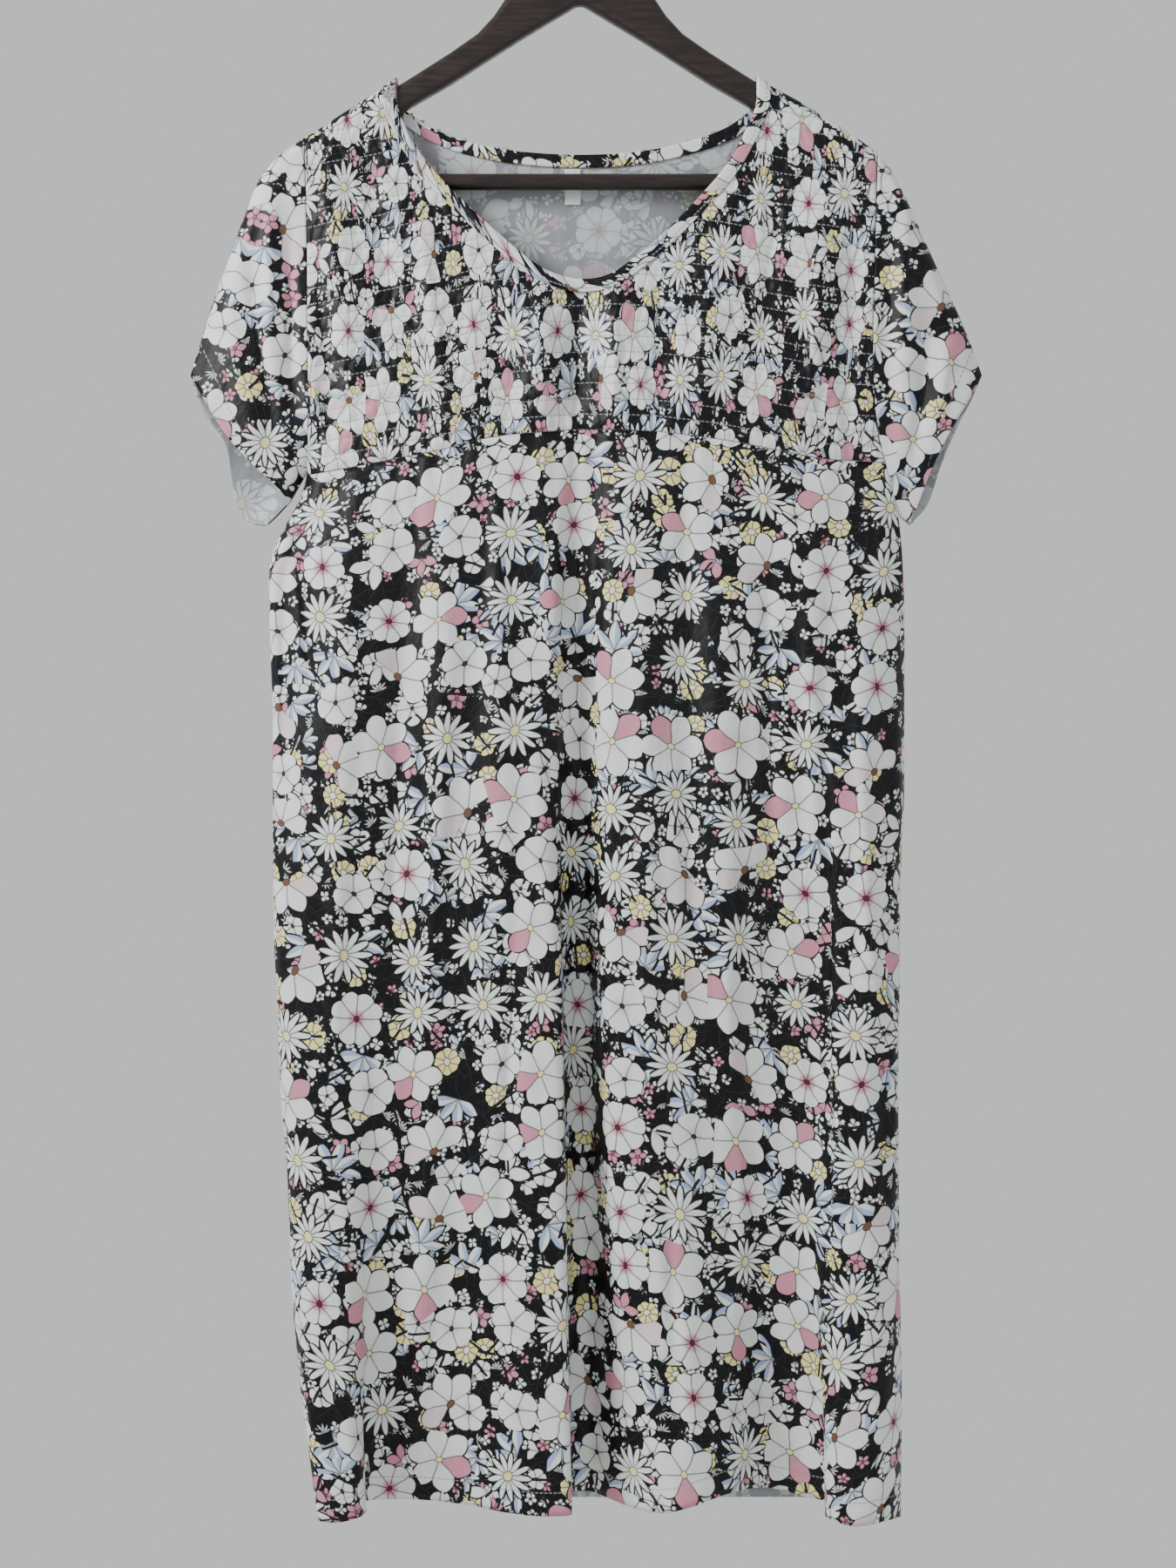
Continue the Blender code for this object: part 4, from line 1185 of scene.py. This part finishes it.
# From the ground upwards: later layers cover earlier ones, as the larger flowers of the cloth do.
PRINT_LAYERS = (
    MotifLayer(10.5, 0.6, (3.0, 7.0), (
        Motif(0.26, 4, 4.4, 1.9, belly=1.9, heart=0.5, heart_tint="0b0b10"),
        Motif(0.16, 5, 4.4, 1.6, belly=1.6, heart=0.9, heart_tint="2b2a33"),
        Motif(0.2, 12, 7.0, 0.8, belly=1.0, shown=0.5, heart=0.1),
        Motif(0.06, 5, 4.8, 1.6, petal="c9899a", other_half="c9899a", heart=0.9, heart_tint="a4566c"),
        Motif(0.32, 1, 0.1, 0.1, heart=0.1),
    )),
    MotifLayer(20.0, 0.55, (31.0, 12.0), (
        Motif(0.26, 5, 8.2, 3.9, belly=2.0, blunt=0.45, heart=1.2, heart_tint="2b2a33"),
        Motif(0.1, 9, 14.0, 2.5, belly=1.1, blunt=0.7, shown=0.34, heart=0.2, other_half="9fb2d2"),
        Motif(0.1, 7, 15.0, 3.3, belly=1.15, blunt=0.7, shown=0.3, heart=0.2),
        Motif(0.1, 5, 7.6, 2.7, belly=1.2, petal="c9899a", other_half="c9899a", heart=1.4, heart_tint="a4566c"),
        Motif(0.08, 8, 8.8, 3.4, belly=2.1, petal="e6dc9a", other_half="e6dc9a", heart=2.6, heart_tint="dfe3e0"),
        Motif(0.36, 1, 0.1, 0.1, heart=0.1),
    )),
    MotifLayer(33.0, 0.55, (11.0, 47.0), (
        Motif(0.13, 6, 14.0, 6.0, belly=2.1, blunt=0.42, heart=1.6, halo=0.2, heart_tint="2b2a33"),
        Motif(0.14, 8, 9.6, 3.7, belly=2.2, petal="e6dc9a", other_half="e6dc9a", heart=2.8, heart_tint="dfe3e0"),
        Motif(0.3, 8, 22.0, 3.9, belly=1.05, blunt=0.7, shown=0.5, heart=0.3, other_half="9fb2d2"),
        Motif(0.13, 5, 19.0, 4.6, belly=1.1, blunt=0.75, shown=0.4, heart=0.3),
        Motif(0.06, 5, 14.0, 4.0, belly=1.15, blunt=0.7, shown=0.6, petal="c9899a", other_half="c9899a", heart=0.3),
        Motif(0.24, 1, 0.1, 0.1, heart=0.1),
    )),
    MotifLayer(49.0, 0.42, (70.0, 23.0), (
        Motif(0.2, 6, 24.0, 8.0, belly=1.4, blunt=0.55, accent=1.0, heart=2.6),
        Motif(0.29, 13, 19.0, 2.25, belly=1.3, blunt=0.42, heart=3.9),
        Motif(0.15, 8, 18.5, 6.4, belly=2.0, blunt=0.38, heart=2.2, halo=1.0, heart_tint="5a1f2c"),
        Motif(0.17, 7, 26.5, 8.0, belly=1.4, blunt=0.55, shown=0.52, accent=0.35, heart=3.2, heart_tint="6d4b35"),
        Motif(0.19, 5, 16.5, 8.2, belly=2.1, blunt=0.4, heart=1.8, halo=0.2, heart_tint="2b2a33"),
    )),
)


@dataclass
class PrintedFace:
    """The shader of one face of the printed jersey."""

    finish: ClothFinish
    colours: PrintColours = field(default_factory=PrintColours)

    def table(self, paint: Paint, pick: Any, layer: MotifLayer, row: Callable[[Motif], Row]) -> bpy.types.NodeSocket:
        """Gives three numbers of the motif that a cell has drawn.

        Args:
            paint: The node builder.
            pick: The cell's random number.
            layer: The layer whose motifs are drawn from.
            row: Gives the three numbers of a motif.

        Returns:
            The numbers as one colour.
        """
        made = paint.node("ShaderNodeValToRGB", None, Fac=pick)
        ramp = made.color_ramp
        ramp.interpolation = "CONSTANT"
        start = 0.0
        for place, motif in enumerate(layer.motifs):
            stop = ramp.elements[place] if place < 2 else ramp.elements.new(start)
            stop.position = start
            stop.color = (*row(motif)[:3], 1.0)
            start += motif.share
        return made.outputs[0]

    def layer(self, paint: Paint, flat: Any, under: Any, layer: MotifLayer) -> bpy.types.NodeSocket:
        """Lays one layer of motifs over a colour.

        Args:
            paint: The node builder.
            flat: The place on the flat cloth.
            under: The colour below.
            layer: The motifs.

        Returns:
            The colour with the motifs on it.
        """
        moved = paint.vector("ADD", flat, (*layer.shift, 0.0))
        cells = paint.node(
            "ShaderNodeTexVoronoi", {"voronoi_dimensions": "2D"},
            Vector=moved, Scale=1 / layer.spacing, Randomness=layer.scatter,
        )
        dice = paint.node("ShaderNodeSeparateColor", None, i0=cells.outputs["Color"])
        pick, turn, size = dice.outputs[0], dice.outputs[1], dice.outputs[2]
        away = paint.vector("SUBTRACT", moved, cells.outputs["Position"])
        turned = paint.node("ShaderNodeVectorRotate", {"rotation_type": "Z_AXIS"}, Vector=away)
        paint.tree.links.new(paint.math("MULTIPLY", turn, 40.0), turned.inputs["Angle"])
        place = paint.node("ShaderNodeSeparateXYZ", None, i0=turned.outputs[0])
        forms = paint.node(
            "ShaderNodeSeparateColor", None,
            i0=self.table(paint, pick, layer, lambda m: (m.petals / 20, m.radius / 30, m.width / 12)),
        )
        looks = paint.node(
            "ShaderNodeSeparateColor", None,
            i0=self.table(paint, pick, layer, lambda m: (m.belly / 3, m.blunt, m.shown)),
        )
        marks = paint.node(
            "ShaderNodeSeparateColor", None,
            i0=self.table(paint, pick, layer, lambda m: (m.heart / 10, m.accent, m.halo)),
        )
        petals = paint.math("ROUND", paint.math("MULTIPLY", forms.outputs[0], 20.0))
        grow = paint.math("MULTIPLY_ADD", size, 0.22, 0.88)
        reach = paint.math("MULTIPLY", paint.math("MULTIPLY", forms.outputs[1], 30.0), grow)
        width = paint.math("MULTIPLY", paint.math("MULTIPLY", forms.outputs[2], 12.0), grow)

        radius = paint.vector("LENGTH", turned.outputs[0])
        angle = paint.math("ARCTAN2", place.outputs[1], place.outputs[0])
        round_share = paint.math("MULTIPLY_ADD", angle, 0.5 / math.pi, 0.5)
        petal_place = paint.math("MULTIPLY", round_share, petals)
        number = paint.math("FLOOR", petal_place)
        across = paint.math("SUBTRACT", paint.math("SUBTRACT", petal_place, number), 0.5)
        swing = paint.math("MULTIPLY", across, paint.math("DIVIDE", 2 * math.pi, petals))
        out = paint.math("MULTIPLY", radius, paint.math("COSINE", swing))
        aside = paint.math("MULTIPLY", radius, paint.math("SINE", swing))
        share = paint.math("MINIMUM", paint.math("DIVIDE", out, reach), 1.0)
        share = paint.math("MAXIMUM", share, 0.0)
        bent = paint.math("POWER", share, paint.math("MULTIPLY", looks.outputs[0], 3.0))
        swell = paint.math("SINE", paint.math("MULTIPLY", bent, math.pi))
        swell = paint.math("POWER", paint.math("MAXIMUM", swell, 0.0), looks.outputs[1])
        from_side = paint.math("SUBTRACT", paint.math("MULTIPLY", width, swell), paint.math("ABSOLUTE", aside))
        half_gap = paint.math("SUBTRACT", 0.5, paint.math("ABSOLUTE", across))
        gap_angle = paint.math("DIVIDE", paint.math("MULTIPLY", half_gap, 2 * math.pi), petals)
        from_next = paint.math("MULTIPLY", gap_angle, radius)
        turn_share = paint.math("DIVIDE", paint.math("ADD", number, 0.5), petals)
        shown = paint.math("LESS_THAN", turn_share, looks.outputs[2])

        moat = paint.math("MULTIPLY", paint.smooth(from_side, -1.3, -0.8), shown)
        under = paint.over(moat, under, tint(self.colours.ground))
        inside = paint.math("MULTIPLY", paint.smooth(from_side, -0.15, 0.2), shown)
        drawn = paint.smooth(paint.math("MINIMUM", from_side, from_next), 0.25, 0.75)
        white = self.table(paint, pick, layer, lambda m: tint(m.petal))
        second = self.table(paint, pick, layer, lambda m: tint(m.other_half))
        petal = paint.over(paint.smooth(aside, -0.2, 0.2), white, second)
        first = paint.math("MULTIPLY", paint.math("LESS_THAN", number, 0.5), marks.outputs[1])
        petal = paint.over(first, petal, tint(self.colours.pink))
        shade = paint.math("MULTIPLY", paint.smooth(share, 0.55, 0.1), 0.16)
        petal = paint.over(shade, petal, tint("8e9299"))
        halo = paint.math("MULTIPLY", paint.smooth(radius, 8.5, 3.0), marks.outputs[2])
        petal = paint.over(halo, petal, tint(self.colours.pink))
        line = paint.math("MULTIPLY", paint.math("SUBTRACT", 1.0, drawn), 0.72)
        petal = paint.over(line, petal, tint(self.colours.line))
        covered = paint.over(inside, under, petal)
        heart = paint.math("MULTIPLY", marks.outputs[0], 10.0)
        oval = paint.vector("LENGTH", paint.vector("MULTIPLY", turned.outputs[0], (1.0, 1.3, 1.0)))
        rim = paint.smooth(paint.math("SUBTRACT", heart, oval), -0.75, -0.35)
        rim = paint.math("MULTIPLY", rim, paint.math("GREATER_THAN", heart, 0.6))
        covered = paint.over(rim, covered, tint(self.colours.line))
        centre = self.table(paint, pick, layer, lambda m: tint(m.heart_tint))
        full = paint.smooth(paint.math("SUBTRACT", heart, oval), -0.1, 0.3)
        return paint.over(paint.math("MULTIPLY", full, paint.math("GREATER_THAN", heart, 0.6)), covered, centre)

    def stitches(self, paint: Paint, colour: Any) -> tuple[bpy.types.NodeSocket, bpy.types.NodeSocket]:
        """Draws dashes of thread along the lines of stitching.

        Args:
            paint: The node builder.
            colour: The colour of the cloth.

        Returns:
            The colour with the thread, and how much of the thread covers each point.
        """
        line = paint.node("ShaderNodeAttribute", {"attribute_name": "stitch_line"})
        parts = paint.node("ShaderNodeSeparateXYZ", None, i0=line.outputs["Vector"])
        away = parts.outputs[1]
        if self.finish.shirred:
            away = paint.math("PINGPONG", away, SHIRR_PITCH / 2)
        near = paint.smooth(paint.math("ABSOLUTE", away), 0.65, 0.3)
        step = paint.math("FRACT", paint.math("DIVIDE", parts.outputs[0], 3.4))
        thread = paint.math("MULTIPLY", near, paint.math("LESS_THAN", step, 0.68))
        share = paint.math("MULTIPLY", thread, 0.75)
        return paint.over(share, colour, tint(self.colours.stitch)), thread

    def build(self) -> bpy.types.Material:
        """Makes the material.

        Returns:
            The material.
        """
        made = bpy.data.materials.new(self.finish.name)
        made.use_nodes = True
        paint = Paint(made.node_tree)
        shader = made.node_tree.nodes["Principled BSDF"]
        place = paint.node("ShaderNodeAttribute", {"attribute_name": "flat_cloth"})
        flat = place.outputs["Vector"]
        wobble = paint.node("ShaderNodeTexNoise", {"noise_dimensions": "2D"}, Vector=flat, Scale=0.06, Detail=2.0)
        drift = paint.vector("SCALE", paint.vector("SUBTRACT", wobble.outputs["Color"], (0.5, 0.5, 0.5)))
        drift.node.inputs["Scale"].default_value = 3.0
        flat = paint.vector("ADD", flat, drift)
        ground = paint.node("ShaderNodeRGB")
        ground.outputs[0].default_value = tint(self.colours.ground)
        colour: bpy.types.NodeSocket = ground.outputs[0]
        for layer in PRINT_LAYERS:
            colour = self.layer(paint, flat, colour, layer)
        colour = paint.over(1 - self.finish.printed, colour, tint(self.colours.inner))
        colour, thread = self.stitches(paint, colour)
        # The knit is drawn at 0.9 mm, coarser than its real loops, so that it holds at this distance.
        knit = paint.node("ShaderNodeTexNoise", {"noise_dimensions": "2D"}, Vector=flat, Scale=1.1, Detail=2.0)
        long_way = paint.vector("MULTIPLY", flat, (1.0, 0.45, 1.0))
        soft = paint.node("ShaderNodeTexNoise", {"noise_dimensions": "2D"}, Vector=long_way, Scale=0.035, Detail=3.0)
        height = paint.math("MULTIPLY_ADD", knit.outputs[0], 0.05, paint.math("MULTIPLY", soft.outputs[0], 3.2))
        height = paint.math("SUBTRACT", height, paint.math("MULTIPLY", thread, 0.12))
        bump = paint.node("ShaderNodeBump", None, Height=height, Strength=0.7, Distance=MM)
        made.node_tree.links.new(colour, shader.inputs["Base Color"])
        made.node_tree.links.new(bump.outputs[0], shader.inputs["Normal"])
        shader.inputs["Roughness"].default_value = self.finish.roughness
        shader.inputs["Specular IOR Level"].default_value = 0.22
        return made


class Studio:
    """The plain floor, the soft lights, the pale surroundings and the camera."""

    def floor(self) -> bpy.types.Object:
        """A plain pale floor well below the hem."""
        shape = bmesh.new()
        bmesh.ops.create_circle(shape, cap_ends=True, segments=96, radius=0.96)
        bmesh.ops.translate(shape, verts=shape.verts, vec=(0, 0, -1.75))
        mesh = bpy.data.meshes.new("floor")
        shape.to_mesh(mesh)
        shape.free()
        floor = bpy.data.objects.new("floor", mesh)
        bpy.context.scene.collection.objects.link(floor)
        paint = bpy.data.materials.new("pale matte floor")
        paint.use_nodes = True
        shader = paint.node_tree.nodes["Principled BSDF"]
        shader.inputs["Base Color"].default_value = tint("d9d8d4")
        shader.inputs["Roughness"].default_value = 0.9
        mesh.materials.append(paint)
        return floor

    def light(self, name: str, where: tuple[float, float, float], size: float, watts: float) -> None:
        """Adds a soft square light that points at the dress.

        Args:
            name: The light's name.
            where: Its place in metres.
            size: Its side in metres.
            watts: Its strength.
        """
        lamp = bpy.data.lights.new(name, "AREA")
        lamp.size = size
        lamp.energy = watts
        thing = bpy.data.objects.new(name, lamp)
        thing.location = where
        thing.rotation_euler = (Vector((0, 0, -0.62)) - Vector(where)).to_track_quat("-Z", "Y").to_euler()
        bpy.context.scene.collection.objects.link(thing)

    def surroundings(self) -> None:
        """An even pale light from everywhere."""
        world = bpy.data.worlds.new("pale surroundings")
        world.use_nodes = True
        world.node_tree.nodes["Background"].inputs["Color"].default_value = tint("e6e8e8")
        world.node_tree.nodes["Background"].inputs["Strength"].default_value = 0.86
        bpy.context.scene.world = world

    def camera(self) -> None:
        """The camera, straight in front of the dress at the height of its middle."""
        lens = bpy.data.cameras.new("camera")
        lens.sensor_fit = "VERTICAL"
        lens.sensor_height = 36.0
        lens.lens = 41.86
        eye = bpy.data.objects.new("camera", lens)
        eye.location = (EYE_X * MM, -1.38, EYE_Z * MM)
        eye.rotation_euler = (math.radians(90), 0, 0)
        bpy.context.scene.collection.objects.link(eye)
        bpy.context.scene.camera = eye

    def build(self) -> bpy.types.Object:
        """Sets everything up.

        Returns:
            The floor.
        """
        self.light("key", (-1.6, -1.0, 0.45), 0.7, 50)
        self.light("fill", (1.6, -1.8, -0.5), 1.8, 7)
        self.light("back", (0.2, 2.2, 0.2), 2.0, 18)
        self.surroundings()
        self.camera()
        return self.floor()


@dataclass(frozen=True)
class HardFinish:
    """How a hard piece or a plain tape looks."""

    name: str
    colour: str
    streak: str
    roughness: float
    metallic: float = 0.0
    grain: tuple[float, float, float] = (1.0, 1.0, 1.0)
    grain_scale: float = 60.0


# Dark stained and lacquered beech: near black, with faint warmer streaks along the arms.
WOOD = HardFinish("dark stained wood", "170d0b", "281914", 0.34, grain=(1.0, 9.0, 9.0), grain_scale=40.0)
# Drawn and polished steel: bright, with very faint scratches along the wire.
STEEL = HardFinish("polished steel wire", "b4b6b8", "9fa1a4", 0.24, metallic=1.0, grain_scale=220.0)
# White satin tape: a smooth bare label.
TAPE = HardFinish("white satin tape", "e9eae9", "dcdddc", 0.5, grain=(1.0, 1.0, 8.0), grain_scale=300.0)


@dataclass
class Finishes:
    """Every material of the dress and its hanger, each made once."""

    colours: PrintColours = field(default_factory=PrintColours)

    def hard(self, finish: HardFinish) -> bpy.types.Material:
        """A material of one colour with streaks of another.

        Args:
            finish: The finish.

        Returns:
            The material.
        """
        made = bpy.data.materials.new(finish.name)
        made.use_nodes = True
        paint = Paint(made.node_tree)
        shader = made.node_tree.nodes["Principled BSDF"]
        place = paint.node("ShaderNodeTexCoord").outputs["Object"]
        drawn = paint.vector("MULTIPLY", place, finish.grain)
        noise = paint.node("ShaderNodeTexNoise", None, Vector=drawn, Scale=finish.grain_scale, Detail=4.0)
        share = paint.smooth(noise.outputs[0], 0.35, 0.7)
        colour = paint.over(share, tint(finish.colour), tint(finish.streak))
        rough = paint.math("MULTIPLY_ADD", share, 0.12, finish.roughness)
        made.node_tree.links.new(colour, shader.inputs["Base Color"])
        made.node_tree.links.new(rough, shader.inputs["Roughness"])
        shader.inputs["Metallic"].default_value = finish.metallic
        return made

    @cached_property
    def jersey(self) -> bpy.types.Material:
        """Printed jersey: white flowers on black, with the faint gloss of a fine knit."""
        return PrintedFace(ClothFinish("printed jersey", 1.0), self.colours).build()

    @cached_property
    def shirred(self) -> bpy.types.Material:
        """The same jersey crossed by grey rows of elastic thread."""
        return PrintedFace(ClothFinish("shirred printed jersey", 1.0, shirred=True), self.colours).build()

    @cached_property
    def inner(self) -> bpy.types.Material:
        """The back of the jersey: pale grey, where the print shows through faintly."""
        return PrintedFace(ClothFinish("back of printed jersey", 0.3), self.colours).build()

    @cached_property
    def tape(self) -> bpy.types.Material:
        """White satin tape: a bare label, brighter and smoother than the jersey behind it."""
        return self.hard(TAPE)


@dataclass
class Dress:
    """The whole garment."""

    finishes: Finishes
    neck: NeckOpening = field(default_factory=NeckOpening)
    front: LowerFront = field(default_factory=LowerFront)
    made: dict[str, bpy.types.Object] = field(default_factory=dict)

    def keep(self, name: str, piece: bpy.types.Object, node: str, slot: str) -> bpy.types.Object:
        """Ties a piece to the solid that it stands for.

        Args:
            name: The name that it is kept under.
            piece: The piece.
            node: The solid.
            slot: The record's material slot, which is not used.

        Returns:
            The piece.
        """
        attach(piece, "root")
        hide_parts(node)
        self.made[name] = piece
        log.info("%s: %d faces before its wall", name, len(piece.data.polygons))
        return piece

    def cut_away(self, piece: bpy.types.Object, grid: ClothGrid, gone: Callable[[int, int], bool]) -> None:
        """Deletes the faces whose corners all lie in an opening.

        Args:
            piece: The cloth, whose points are in rows.
            grid: Its grid.
            gone: Says whether a point of a column and row lies in the opening.
        """
        taken = {(i, j) for j in range(grid.rows + 1) for i in range(grid.columns + 1) if gone(i, j)}
        shape = bmesh.new()
        shape.from_mesh(piece.data)
        shape.verts.ensure_lookup_table()
        width = grid.columns + 1
        lost = []
        for face in shape.faces:
            corners = [(vert.index % width, grid.rows - vert.index // width) for vert in face.verts]
            if all(corner in taken for corner in corners):
                lost.append(face)
        bmesh.ops.delete(shape, geom=lost, context="FACES")
        shape.to_mesh(piece.data)
        shape.free()

    def build(self) -> None:
        """Makes every piece of cloth."""
        faces = (self.finishes.jersey, self.finishes.inner)
        skirt_grid = self.front.grid()
        skirt = self.keep("front skirt", skirt_grid.build("skirt_cloth", faces), "front_skirt", "jersey")

        yoke = Yoke(self.neck)
        yoke_grid = yoke.grid()
        yoke_piece = yoke_grid.build("yoke_cloth", (self.finishes.shirred, self.finishes.inner))
        self.cut_away(yoke_piece, yoke_grid, yoke.gone)
        self.keep("front yoke", yoke_piece, "front_yoke", "jersey")

        back = Back(self.front, self.neck)
        back_grid = back.grid()
        back_piece = back_grid.build("back_cloth", faces)
        shares = back.shares()
        self.cut_away(back_piece, back_grid, lambda i, j: back.opened(shares[i], j))
        self.keep("back", back_piece, "back", "jersey")

        for side, name in ((Side.LEFT, "left"), (Side.RIGHT, "right")):
            sleeve_grid = Sleeve(side).grid()
            sleeve = self.keep(f"{name} sleeve", sleeve_grid.build(f"{name}_sleeve_cloth", faces), f"sleeve_{name}", "jersey")
            sleeve_grid.area()

        binding_grid = Binding(self.neck).grid()
        band = self.keep(
            "neck binding", binding_grid.build("neck_band", (self.finishes.jersey,), wall=0.5), "neck_binding", "jersey"
        )
        label = SizeLabel()
        tape = self.keep(
            "size label", label.grid().build("size_label_tape", (self.finishes.tape,), wall=label.wall),
            "size_label", "label_tape",
        )


def main() -> None:
    """Builds the scene."""
    logging.basicConfig(level=logging.INFO, format="%(name)s %(message)s")
    finishes = Finishes()
    Dress(finishes).build()
    wood = finishes.hard(WOOD)
    for name, finish in (
        ("hanger_arms", wood), ("hanger_bar", wood), ("hanger_hook", finishes.hard(STEEL)),
    ):
        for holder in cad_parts[name].material_slots:
            holder.material = finish
    Studio().build()


if __name__ == "__main__":
    main()
